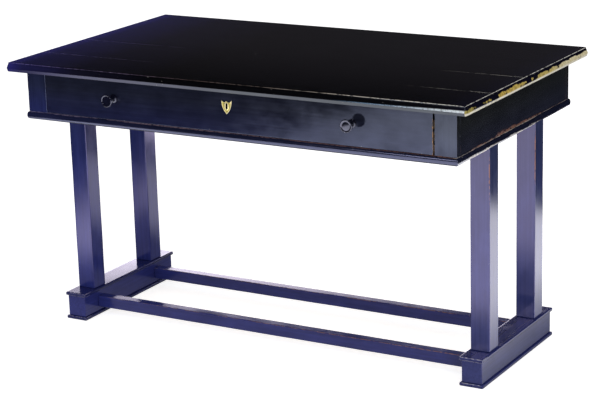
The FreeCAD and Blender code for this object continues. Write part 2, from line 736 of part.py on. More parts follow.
bead_path = doc.addObject("Sketcher::SketchObject", "bead_outline")
case_corners = [("case_half", "case_front"), ("case_half", "case_back"),
                ("-case_half", "case_back"), ("-case_half", "case_front")]
outline(bead_path, case_corners, {})
place(bead_path, z="frame_base")
bead_ring = nosed_ring("bead_ring", bead_path, 4,
                       section_at("bead_section", "case_half", "0", "frame_base"),
                       "frame_thickness", "bead_projection", "bead_root")
bead_sides = {
    "front": ("case_half", ("0", "case_front"), 0),
    "right": ("case_back", ("case_half", "0"), 90),
    "back": ("case_half", ("0", "case_back"), 180),
    "left": ("case_back", ("-case_half", "0"), -90),
}
for side, (half, at, degrees) in bead_sides.items():
    mitre = doc.addObject("Part::Wedge", f"bead_{side}_mitre")
    bind(mitre, Xmin=f"-({half}) - bead_reach", Xmax=f"{half} + bead_reach",
         X2min=f"bead_reach - ({half})", X2max=f"{half} - bead_reach",
         Ymin="-bead_reach", Ymax="bead_reach",
         Zmin="0", Zmax="frame_thickness", Z2min="0", Z2max="frame_thickness")
    place(turn(mitre, Vector(0, 0, 1), degrees), *at, "frame_base")
    keep(shared(f"bead_{side}", bead_ring, mitre))

# Drawer: dovetailed sides, a housed back, two bottom panels either side of a muntin

tail_rows = [f"drawer_base + {step} * side_height / 6" for step in (1, 3, 5)]
side_dovetails = {}
for side, sign in SIDES:
    low, high = sided(sign, "drawer_inside", "drawer_half")
    side_dovetails[side] = []
    for index, level in enumerate(tail_rows):
        tail = doc.addObject("Part::Wedge", f"dovetail_{side}_{index}")
        narrow = around(level, "tail_width")
        wide = around(level, "tail_width + 2 * tail_flare")
        bind(tail, Xmin=low, Xmax=high, X2min=low, X2max=high, Ymin="socket_front", Ymax="front_inside",
             Zmin=wide[0], Zmax=wide[1], Z2min=narrow[0], Z2max=narrow[1])
        side_dovetails[side].append(tail)
    plank = box(f"drawer_side_{side}_plank", (low, high), ("front_inside", "drawer_end"),
                ("drawer_base", "side_top"))
    blank = join(f"drawer_side_{side}_blank", plank, *side_dovetails[side])
    groove = box(f"drawer_side_{side}_groove",
                 sided(sign, "drawer_inside", "drawer_inside + groove_depth"),
                 ("groove_front", "drawer_end"),
                 ("bottom_base - joint_clearance", "bottom_top + joint_clearance"))
    housing = box(f"drawer_side_{side}_housing",
                  sided(sign, "drawer_inside", "drawer_inside + housing_depth + joint_clearance"),
                  ("drawer_back_front - joint_clearance", "drawer_end"),
                  ("bottom_base - joint_clearance", "side_top"))
    keep(cut(f"drawer_side_{side}", blank, groove, housing))
    keep(box(f"drawer_bottom_{side}",
             sided(sign, "muntin_width / 2 - groove_depth + joint_clearance",
                   "drawer_inside + groove_depth - joint_clearance"),
             ("groove_front + joint_clearance", "drawer_end"), ("bottom_base", "bottom_top")))
keep(box("drawer_back", around("0", "2 * (drawer_inside + housing_depth)"),
         ("drawer_back_front", "drawer_end"), ("bottom_top", "side_top - drawer_back_drop")))
muntin_width = around("0", "muntin_width")
muntin_blank = join("drawer_muntin_blank",
                    box("drawer_muntin_bar", muntin_width, ("front_inside", "drawer_back_front"),
                        ("bottom_base - muntin_cheek", "bottom_top + muntin_cheek")),
                    box("drawer_muntin_tail", muntin_width, ("drawer_back_front", "drawer_end"),
                        ("bottom_base - muntin_cheek", "bottom_top")),
                    box("drawer_muntin_stub", muntin_width,
                        ("groove_front + joint_clearance", "front_inside"),
                        ("bottom_base", "bottom_top")))
muntin_grooves = [box(f"drawer_muntin_groove_{side}",
                      sided(sign, "muntin_width / 2 - groove_depth", "muntin_width / 2"),
                      ("groove_front", "drawer_end"),
                      ("bottom_base - joint_clearance", "bottom_top + joint_clearance"))
                  for side, sign in SIDES]
keep(cut("drawer_muntin", muntin_blank, *muntin_grooves))

# Lock on the back of the drawer front, with its bolt, and the keyhole through to the front

keyhole_depth = ("case_front - escutcheon_thickness", "lock_front + keyhole_reach")
keyhole_slot = box("keyhole_slot", around("-lock_offset", "keyhole_width"), keyhole_depth,
                   around("keyhole_level", "keyhole_height - keyhole_width"))
keyhole_ends = []
for index, sign in enumerate((-1, 1)):
    end = doc.addObject("Part::Cylinder", f"keyhole_end_{index}")
    bind(end, Radius="keyhole_width / 2", Height=f"{keyhole_depth[1]} - ({keyhole_depth[0]})")
    turn(end, Vector(1, 0, 0), -90)
    level = f"keyhole_level + {sign} * (keyhole_height - keyhole_width) / 2"
    keyhole_ends.append(place(end, "-lock_offset", keyhole_depth[0], level))
keyhole = join("keyhole", keyhole_slot, *keyhole_ends)


def lock_shape(name, gap):
    """The lock's box, back plate and top plate, grown by a gap where it is the seat for them."""
    wide = around("-lock_offset", f"2 * plate_half + 2 * {gap}")
    body = box(f"{name}_box", around("-lock_offset", f"lock_width + 2 * {gap}"),
               (f"lock_front - {gap}", "front_inside"), (f"lock_base - {gap}", "drawer_top"))
    back = box(f"{name}_back", wide, ("front_inside", "plate_back"), (f"lock_base - {gap}", "drawer_top"))
    top = box(f"{name}_top", wide, (f"lock_front - {gap}", "plate_back"),
              (f"drawer_top - plate_thickness - {gap}", "drawer_top"))
    return join(name, body, back, top)


lock_screw_places = [(f"-lock_offset + {sign} * (plate_half - plate_margin / 2)", "plate_back", level)
                     for _, sign in SIDES
                     for level in ("lock_base + plate_margin", "drawer_top - 3 * plate_margin")]
lock_holes = screws("lock_screws", lock_screw_places, "small_screw_length", Vector(1, 0, 0),
                    [90] * len(lock_screw_places), "small_screw")
bolt_channel = box("bolt_channel", *bolt_room, ("bolt_base - bolt_clearance", "drawer_top"))
keep(cut("lock_case", lock_shape("lock_blank", "0"), bolt_channel, keyhole, lock_holes))
keep(box("lock_bolt", around("-lock_offset", "bolt_width"), around("lock_middle", "bolt_thickness"),
         ("bolt_base", "drawer_top")))

# Brass escutcheon: a pointed shield with a scalloped top, held by small pins

escutcheon_body = doc.addObject("PartDesign::Body", "escutcheon_shield")
shield = sketch_on(escutcheon_body, "XZ_Plane", "escutcheon_outline")
shoulder = "escutcheon_height / 2 - scoop_depth"
outline(shield,
        [("0", "-escutcheon_height / 2"), ("escutcheon_width / 2", "escutcheon_height / 2"),
         ("bump_width / 2", shoulder), ("-bump_width / 2", shoulder),
         ("-escutcheon_width / 2", "escutcheon_height / 2")],
        {0: "shield_curve", 1: "-scoop_curve", 2: "bump_rise", 3: "-scoop_curve", 4: "shield_curve"})
shield_pad = escutcheon_body.newObject("PartDesign::Pad", "escutcheon_plate")
shield_pad.Profile = shield
bind(shield_pad, Length="escutcheon_thickness")
place(escutcheon_body, "-lock_offset", "case_front", "escutcheon_level")

pin_places = [("-lock_offset", "escutcheon_level - escutcheon_height / 2 + 2 * pin_inset")]
pin_places += [(f"-lock_offset + {sign} * (escutcheon_width / 2 - pin_inset)",
                "escutcheon_level + escutcheon_height / 2 - 2 * pin_inset") for _, sign in SIDES]


def pin(name, across, level, gap):
    """A small pin with a tapered head through the escutcheon, or its hole where a gap is given."""
    shank = doc.addObject("Part::Cylinder", f"{name}_shank")
    bind(shank, Radius=f"pin_diameter / 2 + {gap}", Height=f"pin_length + {gap}")
    head = doc.addObject("Part::Cone", f"{name}_head")
    bind(head, Radius1="pin_diameter / 2", Radius2="pin_head_diameter / 2", Height="pin_head_height")
    place(head, z="-pin_head_height")
    return place(turn(join(name, shank, head), Vector(1, 0, 0), -90), across,
                 "case_front - escutcheon_thickness", level)


pins = [pin(f"escutcheon_pin_{index}", *at, "0") for index, at in enumerate(pin_places)]
pin_holes = group("escutcheon_pin_holes", *[pin(f"escutcheon_pin_hole_{index}", *at, "hole_clearance")
                                            for index, at in enumerate(pin_places)])
keep(group("escutcheon_pins", *pins), len(pins))
keep(cut("escutcheon", escutcheon_body, keyhole, pin_holes))

# Turned knobs with a spigot through the drawer front, and the drawer front itself

knob_profile = [("0", "-spigot_length"), ("spigot_diameter / 2", "-spigot_length"),
                ("spigot_diameter / 2", "0"), ("knob_base_diameter / 2", "0"),
                ("knob_base_diameter / 2", "knob_base_thickness"), ("rim_radius", "rim_end - knob_rim"),
                ("rim_radius", "rim_end"), ("0", "knob_projection")]
spigot_holes = []
for side, sign in SIDES:
    across = f"{sign} * knob_spacing / 2"
    level = "case_base + knob_rise"
    knob = doc.addObject("PartDesign::Body", f"knob_{side}")
    profile = sketch_on(knob, "XY_Plane", f"knob_{side}_profile")
    outline(profile, knob_profile, {4: "-knob_cove", 5: "knob_rim_rise", 6: "face_rise"})
    turned = knob.newObject("PartDesign::Revolution", f"knob_{side}_turning")
    turned.Profile = profile
    turned.ReferenceAxis = (profile, ["V_Axis"])
    turned.Angle = 360
    turn(knob, Vector(0, 0, 1), 180)
    keep(place(knob, across, "case_front", level))
    hole = doc.addObject("Part::Cylinder", f"spigot_hole_{side}")
    bind(hole, Radius="spigot_diameter / 2 + hole_clearance", Height="spigot_length + hole_clearance")
    turn(hole, Vector(1, 0, 0), -90)
    spigot_holes.append(place(hole, across, "case_front", level))

front_board = box("drawer_front_board", around("0", "2 * drawer_half"), ("case_front", "front_inside"),
                  ("case_base + drawer_foot_gap", "drawer_top"))
bottom_groove = box("drawer_front_groove", around("0", "2 * (drawer_inside + groove_depth)"),
                    ("groove_front", "front_inside"),
                    ("bottom_base - joint_clearance", "bottom_top + joint_clearance"))
keep(cut("drawer_front", front_board, bottom_groove, *side_dovetails["left"], *side_dovetails["right"],
         lock_shape("lock_seat", "joint_clearance"), keyhole, lock_holes, pin_holes, *spigot_holes))

# Every object has to be sound before any file is written

doc.recompute()
for item in doc.Objects:
    if {"Invalid", "Error"} & set(item.State):
        raise RuntimeError(f"{item.Name} failed: {item.State}")
for item, solids in pieces:
    shape = item.Shape
    if shape.isNull() or not shape.isValid():
        raise RuntimeError(f"{item.Label} is not a sound shape")
    if len(shape.Solids) != solids:
        raise RuntimeError(f"{item.Label} has {len(shape.Solids)} solids, not {solids}")

os.makedirs("parts", exist_ok=True)
for item, _ in pieces:
    item.Shape.exportStep(f"parts/{item.Label}.step")
print(f"{len(pieces)} pieces written")
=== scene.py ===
import math
from functools import partial

import bpy
import numpy as np
from mathutils import Matrix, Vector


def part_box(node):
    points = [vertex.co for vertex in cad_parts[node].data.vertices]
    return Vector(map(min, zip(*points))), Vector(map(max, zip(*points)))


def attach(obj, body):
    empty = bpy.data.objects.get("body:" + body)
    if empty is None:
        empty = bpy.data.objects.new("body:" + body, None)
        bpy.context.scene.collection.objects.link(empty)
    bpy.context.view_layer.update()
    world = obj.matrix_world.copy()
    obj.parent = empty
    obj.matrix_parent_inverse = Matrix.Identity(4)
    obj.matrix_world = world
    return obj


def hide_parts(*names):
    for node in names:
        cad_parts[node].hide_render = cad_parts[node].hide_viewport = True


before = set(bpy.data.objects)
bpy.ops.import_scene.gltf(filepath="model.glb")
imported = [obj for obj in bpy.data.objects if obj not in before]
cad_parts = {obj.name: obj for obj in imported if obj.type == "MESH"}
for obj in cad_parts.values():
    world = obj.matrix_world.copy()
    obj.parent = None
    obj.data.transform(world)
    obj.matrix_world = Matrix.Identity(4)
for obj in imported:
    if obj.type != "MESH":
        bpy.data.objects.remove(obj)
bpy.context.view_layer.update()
mm = 0.001
farEdge = 40.0  # mm from an arris, beyond which all is the same
bandLimit = 0.8  # share of a half width that the cuts near its end may take
print("frame loaded:", len(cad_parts), "nodes")


def linear(hexText):
    # sRGB hex to linear light: each channel over 255, then the sRGB curve undone
    channels = np.array([int(hexText[i:i + 2], 16) for i in (1, 3, 5)]) / 255
    curve = np.where(channels <= 0.04045, channels / 12.92, ((channels + 0.055) / 1.055) ** 2.4)
    return (*curve.tolist(), 1.0)


# words for kinds of node that need a setting: the kind, its property and the value there
kinds = {"scale": ("VectorMath", "operation", "SCALE"), "stretch": ("VectorMath", "operation", "MULTIPLY"),
         "blend": ("Mix", "data_type", "RGBA"), "ease": ("MapRange", "interpolation_type", "SMOOTHSTEP")}
for word in ("add", "subtract", "multiply", "multiply_add", "maximum", "absolute"):
    kinds[word] = ("Math", "operation", word.upper())


def addNode(tree, kind, *wires, **settings):
    # one node: settings are its properties, wires its inputs, in the order in which it shows them or as one
    # dictionary by name: each a plain value, a socket to link, or a node, whose first output is linked
    kind, *setting = kinds.get(kind, (kind,))
    made = tree.nodes.new("ShaderNode" + kind)
    for key, value in [setting] * bool(setting) + list(settings.items()):
        setattr(made, key, value)
    if wires and isinstance(wires[0], dict):
        pairs = [(made.inputs[key], source) for key, source in wires[0].items()]
    else:
        pairs = list(zip((socket for socket in made.inputs if socket.enabled), wires))
    for socket, source in pairs:
        if isinstance(source, bpy.types.Node):
            source = next(output for output in source.outputs if output.enabled)
        if isinstance(source, bpy.types.NodeSocket):
            tree.links.new(source, socket)
        else:
            socket.default_value = source
    return made


def newNodes(name, store=bpy.data.materials):
    # a material, or a world, without nodes, and the function that adds one to it
    made = store.new(name)
    made.use_nodes = True
    made.node_tree.nodes.clear()
    return made, partial(addNode, made.node_tree)


def setStops(ramp, entries, half):
    # colours of a ramp at places along a side that runs from -half to half
    stops = ramp.color_ramp.elements
    while len(stops) < len(entries):
        stops.new(1.0)
    for stop, (place, colour) in zip(stops, entries):
        stop.position = (place / half + 1) / 2
        stop.color = linear(colour)


def loopAt(halfA, halfB, corner, cutsA, cutsB):
    # rectangle outline, anticlockwise: straight runs cut at fixed fractions of each side,
    # joined by quarter circles of the corner radius
    angle = np.linspace(0, np.pi / 2, 5)
    c, s = corner * np.cos(angle), corner * np.sin(angle)
    a, b = halfA - corner, halfB - corner
    runA, runB = cutsA * a, cutsB * b
    fullA, fullB = np.full_like(runB, halfA), np.full_like(runA, halfB)
    parts = [(runA, -fullB), (a + s, -b - c), (fullA, runB), (a + c, b + s),
             (runA[::-1], fullB), (-a - s, b + c), (-fullA, runB[::-1]), (-a - c, -b - s)]
    return np.concatenate([np.stack(part, axis=1) for part in parts])


def cutsFor(half, radius, bands, spacing, room=()):
    # where a side is cut, as fractions of it: near both ends at the band distances, evenly between them,
    # and at both ends of a room that no cut runs through
    flat = half - radius
    ends = np.array([flat - band for band in bands if band < bandLimit * flat])
    even = np.linspace(-1, 1, 2 * int(flat / spacing) + 3)[1:-1] * (ends.min() if len(ends) else flat)
    cuts = np.unique(np.round(np.concatenate([ends, -ends, even, flat * np.array(room)]) / flat, 6))
    if len(room):
        cuts = cuts[np.abs(cuts - np.mean(room)) > np.ptp(room) / 2 - 1e-5]
    return cuts


def skin(rings, wrap=False):
    # quads between each ring of points and the next, all rings closed on themselves
    count, size = rings.shape[:2]
    steps = np.arange(count if wrap else count - 1)[:, None]
    here = np.arange(size)[None, :]
    after, up = (here + 1) % size, (steps + 1) % count
    quads = [steps * size + here, steps * size + after, up * size + after, up * size + here]
    return rings.reshape(-1, 3), np.stack(quads, axis=-1).reshape(-1, 4)


def gridSkin(lines, level):
    # quads over a level grid of points, facing up
    across = np.meshgrid(*lines, indexing="ij")
    grid = np.stack([*across, np.full_like(across[0], level)], axis=2)
    at = np.arange(across[0].size).reshape(across[0].shape)
    quads = [at[:-1, :-1], at[1:, :-1], at[1:, 1:], at[:-1, 1:]]
    return grid.reshape(-1, 3), np.stack(quads, axis=-1).reshape(-1, 4)


def cellAt(lines, place):
    # which of the grid's quads holds a place
    row, column = (np.searchsorted(line, value) - 1 for line, value in zip(lines, place))
    return row * (len(lines[1]) - 1) + column


def joined(*patches):
    # several patches as one list of points and sides
    starts = np.cumsum([0] + [len(points) for points, _ in patches[:-1]])
    return (np.concatenate([points for points, _ in patches]),
            np.concatenate([sides + start for (_, sides), start in zip(patches, starts)]))


def waves(along, seed, *lengths):
    # a slow wander: the mean of sines of the given wavelengths, each with its own phase
    turns = [2 * np.pi * along / size + 1.7 * seed + 2.3 * i for i, size in enumerate(lengths)]
    return np.sin(turns).mean(axis=0)


def edgeMarks(points, low, high):
    # distance to the nearest arris of a box: the second smallest of the three distances to its faces
    half, middle = (high - low) / 2, (high + low) / 2
    gaps = np.sort(np.clip(half - np.abs(points - middle), 0, None), axis=1)
    return np.minimum(gaps[:, 1], farEdge * mm)


def grainMarks(points, axis, seed):
    # coordinates with the grain's direction first, moved to another spot of the pattern for each piece
    order = {"x": (0, 1, 2), "y": (1, 2, 0), "z": (2, 0, 1)}[axis]
    return points[:, order] + np.array([0.83, 0.29, 0.41]) * seed


def addObject(name, data):
    made = bpy.data.objects.new(name, data)
    bpy.context.scene.collection.objects.link(made)
    return made


def addPiece(node, patch, marks, body, material):
    # a piece in the place of a CAD node: points within a micrometre become one, sides that collapse are
    # dropped, marks become attributes
    points, sides = patch
    _, first, group = np.unique(np.round(points * 1e6).astype(np.int64), axis=0,
                                return_index=True, return_inverse=True)
    sides = group.reshape(-1)[sides]
    same = sides == np.roll(sides, -1, axis=1)
    crossed = (sides[:, 0] == sides[:, 2]) | (sides[:, 1] == sides[:, 3])
    whole = (same.sum(axis=1) == 0) & ~crossed
    three = (same.sum(axis=1) == 1) & ~crossed
    triangles = sides[three][~same[three]].reshape(-1, 3)
    mesh = bpy.data.meshes.new(node + "_finish")
    mesh.from_pydata(points[first].tolist(), [], sides[whole].tolist() + triangles.tolist())
    for key, values in marks.items():
        kind, field = ("FLOAT_VECTOR", "vector") if values.ndim == 2 else ("FLOAT", "value")
        made = mesh.attributes.new(key, kind, "POINT")
        made.data.foreach_set(field, values[first].astype(np.float32).ravel())
    mesh.shade_smooth()
    mesh.set_sharp_from_angle(angle=math.radians(38))
    mesh.materials.append(material)
    piece = addObject(node + "_finish", mesh)
    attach(piece, body)
    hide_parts(node)


def shadeWith(add, look, height, inputs):
    # bump from a height pattern, the shader and its way out
    bump = add("Bump", {"Height": height, "Strength": look["relief"], "Distance": look["bumpDepth"] * mm})
    add("OutputMaterial", add("BsdfPrincipled", {"Normal": bump} | inputs))


pineLook = {"pale": "#c9a878", "deep": "#a27a4a", "gloss": (0.55, 0.7), "glossSpan": (0.3, 0.7), "ior": 1.5,
            "share": (0.35, 0.68), "detail": 5.0, "distortion": 0.6, "relief": 0.2, "bumpDepth": 0.4,  # mm
            "lines": (2.2, 90.0)}  # to a metre along and across the grain, so 455 and 11 mm apart
pineTones = linear(pineLook["pale"]), linear(pineLook["deep"])


# Ebonised softwood: black paint with a blue cast, rubbed and polished by hand. It gives the eye a deep
# blue-black with a soft gloss, faint streaks along the grain, and brown wood at rubbed arrises.
def ebonisedWood(name, look):
    material, add = newNodes(name)
    grain = add("Attribute", attribute_name="grain").outputs["Vector"]
    edge, wear, plain, shadedHollow = (add("Attribute", attribute_name=key).outputs["Fac"]
                                 for key in ("edge", "wear", "plain", "shadedHollow"))
    place = add("SeparateXYZ", add("TexCoord").outputs["Object"]).outputs
    noise = {}
    for key, (sizes, detail) in look["noises"].items():
        scaled = add("stretch", grain, tuple(1000 / size for size in sizes))
        noise[key] = add("TexNoise", scaled, 1.0, detail, look["noiseRough"])
    # paint and worn colours change from the left end to the right; the paint's changes are partly painted
    # light and shade, the blue strongest at the left
    along = add("MapRange", place[0], -look["halfLength"], look["halfLength"])
    ramps = {key: add("ValToRGB", along) for key in ("paintAndShade", "rubbed")}
    for key, ramp in ramps.items():
        setStops(ramp, look[key], look["halfLength"])
    tone = add("MapRange", noise["streak"], *look["streakSpan"], *look["tone"])
    haze, polish, gloss = (add("MapRange", noise["cloud"], *look["cloudSpan"], *look[key])
                           for key in ("haze", "polish", "gloss"))
    shade = add("multiply", tone, haze)
    # less blue higher up: painted light, standing in for how the light falls there
    rise = add("MapRange", place[2], *look["tintSpan"])
    tinted = add("blend", rise, ramps["paintAndShade"], linear(look["tint"]), blend_type="MULTIPLY")
    paintAndShade = add("scale", tinted, shade)
    # rubbed as far in from an arris as the wear mark and the noise allow, and broken up by chips; the worn
    # colour's pale lavender at the left is partly a painted highlight on the arrises
    rubShare, chips, speck = (add("MapRange", noise[key], *look[key + "Span"])
                              for key in ("rub", "chip", "nick"))
    solid = add("ease", edge, 0.0, add("multiply", rubShare, wear), 1.0, 0.0)
    rub = add("multiply", solid, chips)
    rubbed = add("blend", rub, paintAndShade, ramps["rubbed"])
    near = add("MapRange", edge, 0.0, look["nickReach"] * mm, 1.0, 0.0)
    nick = add("multiply", near, speck)
    marked = add("blend", nick, rubbed, linear(look["nick"]))
    # a face inside the drawer is left as plain pine
    pine = add("blend", noise["streak"], *pineTones)
    faced = add("blend", plain, marked, pine)
    # painted shade: inside a hole it is black and mirrors nothing
    outside = add("subtract", 1.0, shadedHollow)
    colour = add("scale", faced, outside)
    level = add("multiply", outside, polish)
    rubbedGloss = add("Mix", rub, gloss, look["rubbedGloss"])
    rough = add("Mix", plain, rubbedGloss, pineLook["gloss"][1])
    height = add("add", noise["streak"], noise["cloud"])
    shadeWith(add, look, height, {"Base Color": colour, "Roughness": rough, "IOR": look["ior"],
                                  "Specular IOR Level": level, "Specular Tint": linear(look["sheen"])})
    return material


paintLook = {
    "halfLength": 0.68,  # metres from the middle to where the colours end
    # place along the desk in metres, and colour there, partly painted light and shade: bluer to the left
    "paintAndShade": ((-0.636, "#282d5e"), (-0.5715, "#252a58"), (-0.5705, "#222545"), (-0.2, "#1f2240"),
              (0.56, "#1a1c32"), (0.575, "#2a2d3e"), (0.625, "#2a2d3a"), (0.63, "#212331")),
    # worn colour: pale lavender at the left, partly a painted highlight on the arrises, brown worn wood to
    # the right
    "rubbed": ((-0.6, "#a49cc0"), (-0.5, "#948aac"), (-0.2, "#8c6c74"), (0.3, "#7c5248"), (0.56, "#80563f"),
               (0.569, "#c09258"), (0.58, "#84583f"), (0.63, "#84583f")),
    # the tint is painted light: less blue higher up, for how the light falls there
    "tintSpan": (0.64, 0.7), "tint": "#ffffd0",  # heights in metres, what the paint is times above them
    "tone": (0.9, 1.2), "haze": (0.82, 1.22),  # streaks and clouds, as parts of the paint's colour
    "streakSpan": (0.34, 0.68), "cloudSpan": (0.3, 0.7),
    "sheen": "#c8d2fa", "ior": 1.4, "polish": (0.36, 0.64), "gloss": (0.08, 0.16), "rubbedGloss": 0.5,
    "relief": 0.06, "bumpDepth": 0.4,  # mm
    # mm along and across the grain, and detail: brush streaks, uneven polish, rubbing, chips and nicks
    "noises": {"streak": ((260, 7, 7), 4.0), "cloud": ((75, 42, 42), 3.0), "rub": ((75, 34, 34), 5.0),
               "chip": ((9, 6, 6), 3.0), "nick": ((7, 5, 5), 2.0)},
    "noiseRough": 0.58, "rubSpan": (0.4, 0.6), "chipSpan": (0.4, 0.52, 0.15, 1.0), "nickSpan": (0.73, 0.76),
    "nick": "#c4c0bc", "nickReach": 6.0,  # mm
}
baseLook = paintLook | {
    # on the base too the colours are partly painted shade, bluer to the left, and the tint is painted light
    "paintAndShade": ((-0.64, "#2e3579"), (0.5, "#2e3576"), (0.6, "#353c70")),
    # the lavender worn colour at the left is partly a painted highlight on the arrises
    "rubbed": ((-0.64, "#8a80a8"), (-0.3, "#7a5a50"), (0.64, "#a5714f")),
    "tintSpan": (0.3, 0.6), "tint": "#ffffda", "haze": (0.9, 1.12), "sheen": "#dcd0ff", "ior": 1.47,
    "polish": (0.46, 0.54), "gloss": (0.1, 0.2), "relief": 0.05, "rubSpan": (0.33, 0.53)}
beadPaint = baseLook | {
    "paintAndShade": ((-0.64, "#1f2250"), (-0.2, "#171a3a"), (0.62, "#181b38")),
    # worn colour: the pale cream at the right end, along the right bead's foot, is partly a painted
    # highlight
    "rubbed": ((-0.64, "#8a80a8"), (-0.2, "#9a808c"), (0.3, "#84605c"), (0.62, "#7c5646"),
               (0.633, "#d8cec2")),
    "sheen": "#c8ccff", "ior": 1.52}
lipPaintAndHighlight = baseLook | {
    "paintAndShade": ((-0.64, "#22275c"), (0.5, "#262b68"), (0.6, "#2a2f66")),
    # pale along the front edges of caps and soles: a painted highlight, carried by the worn colour
    "rubbed": ((-0.64, "#a8a2c8"), (0.64, "#d4d2e2")),
    "sheen": "#dedaff", "ior": 1.45, "rubSpan": (0.3, 0.5)}
knobPaint = paintLook | {
    "paintAndShade": ((-0.64, "#121326"), (0.64, "#14151e")), "tintSpan": (1.0, 2.0), "sheen": "#dfe0ff",
    "ior": 1.54, "gloss": (0.05, 0.1), "relief": 0.04, "nickSpan": (0.9, 0.93)}
topPaint = paintLook | {
    # the navy at the left end of the top is partly painted shade
    "paintAndShade": ((-0.673, "#2e2c76"), (-0.62, "#201f48"), (-0.45, "#131222"), (-0.2, "#08080a"),
              (0.45, "#08080b"), (0.6, "#0a0a10"), (0.67, "#0d0d1b")),
    # the lavender worn colour at the left end is partly a painted highlight on the arrises and seams
    "rubbed": ((-0.67, "#6a62a4"), (-0.4, "#665a78"), (-0.1, "#4e3c36"), (0.12, "#6e6058"), (0.3, "#b0a598"),
               (0.5, "#dcd4c6"), (0.67, "#f2eee2")),
    "tintSpan": (1.0, 2.0), "tone": (0.92, 1.12), "haze": (0.92, 1.1), "sheen": "#e2ecff",
    "polish": (0.46, 0.54), "rubSpan": (0.33, 0.53)}
caseWood = ebonisedWood("ebonised_wood_case", paintLook)
baseWood = ebonisedWood("ebonised_wood_base", baseLook)
beadWood = ebonisedWood("ebonised_wood_bead", beadPaint)
stretcherWood = ebonisedWood("ebonised_wood_stretcher", baseLook | {"sheen": "#fff0f0"})
lipWoodHighlighted = ebonisedWood("ebonised_wood_lip_highlighted", lipPaintAndHighlight)
knobWood = ebonisedWood("ebonised_hardwood_knob", knobPaint)
topWood = ebonisedWood("ebonised_wood_top", topPaint)


# The right end of the top is worn to bare pine: yellow end grain in patches under black paint, with a pale
# lower edge. Near that end a painted highlight runs along the front crease.
bareLook = {
    "edge": "#e6dfcc", "gleam": "#4c6680", "paintedHighlight": "#e4ebf0", "highlightWide": 0.12, "rough": 0.62,
    "patchSize": (60, 60, 40), "fibreSize": (6, 6, 15), "detail": 5.0, "noiseRough": 0.6,  # sizes in mm
    # along the desk in metres: the bare end, where the painted highlight is dim and where it is bright, and
    # the bluer sheen at the left
    "atRight": (0.6672, 0.6684), "gleamShare": (0.3, 0.42), "towardsRight": (0.42, 0.69),
    "rightward": (-0.6, 0.05), "sheenLeft": "#b9b4ff",
    # down the moulding, from 0 at its top to 1 at its foot
    "climb": (0.16, 0.34, -0.7, -0.5), "lowEdge": (0.64, 0.7), "onNose": (0.1, 0.2),
    "aboveCrease": (0.41, 0.47), "belowCrease": (0.55, 0.57, 1.0, 0.0),
    # spans of the noises
    "worn": (0.455, 0.485), "paleShare": (0.36, 0.5, 0.35, 1.0), "fibreTone": (0.38, 0.6),
    # along the end from front to back, in metres: how far it leans to bare wood, its pale and deep colours
    "halfDepth": 0.38,
    "lean": ((-0.38, 0.64), (-0.345, 0.6), (-0.325, 0.45), (-0.21, 0.45), (-0.19, 0.56), (-0.03, 0.56),
             (-0.022, 0.41), (-0.008, 0.41), (0.005, 0.56), (0.15, 0.56), (0.175, 0.43), (0.2, 0.58),
             (0.38, 0.62)),
    "pale": ((-0.36, "#a89a4e"), (-0.17, "#d0b250"), (0.12, "#ceb96a"), (0.22, "#e6dbb6")),
    "deep": ((-0.36, "#6a5c26"), (-0.17, "#82692a"), (0.12, "#907c38"), (0.22, "#c0b184")),
}
add = partial(addNode, topWood.node_tree)
shader = topWood.node_tree.nodes["Principled BSDF"]
place = add("TexCoord").outputs["Object"]
split = add("SeparateXYZ", place).outputs
nose = add("Attribute", attribute_name="nose").outputs["Fac"]
noises = []
for key in ("patchSize", "fibreSize"):
    scaled = add("stretch", place, tuple(1000 / size for size in bareLook[key]))
    noises.append(add("TexNoise", scaled, 1.0, bareLook["detail"], bareLook["noiseRough"]))
patches, fibre = noises
sources = {"atRight": split[0], "rightward": split[0], "climb": nose, "lowEdge": nose, "onNose": nose,
           "belowCrease": nose, "paleShare": fibre, "fibreTone": fibre}
share = {key: add("MapRange", source, *bareLook[key]) for key, source in sources.items()}
for key in ("gleamShare", "towardsRight"):
    share[key] = add("ease", split[0], *bareLook[key])
# more is bare lower down, and along the end as the list says
endShare = add("MapRange", split[1], -bareLook["halfDepth"], bareLook["halfDepth"])
lean = add("FloatCurve", {"Value": endShare})
curve = lean.mapping.curves[0].points
while len(curve) < len(bareLook["lean"]):
    curve.new(1.0, 1.0)
for point, (y, level) in zip(curve, bareLook["lean"]):
    point.location = ((y / bareLook["halfDepth"] + 1) / 2, level)
    point.handle_type = "VECTOR"
lean.mapping.update()
amount = add("add", add("add", patches, share["climb"]), lean)
worn = add("MapRange", amount, *bareLook["worn"])
wornAll = add("maximum", worn, add("multiply", share["lowEdge"], share["paleShare"]))
bareShare = add("multiply", add("multiply", wornAll, share["onNose"]), share["atRight"])
tints = {key: add("ValToRGB", endShare) for key in ("deep", "pale")}
for key, ramp in tints.items():
    setStops(ramp, bareLook[key], bareLook["halfDepth"])
endGrain = add("blend", share["fibreTone"], tints["deep"], tints["pale"])
bare = add("blend", share["lowEdge"], endGrain, linear(bareLook["edge"]))
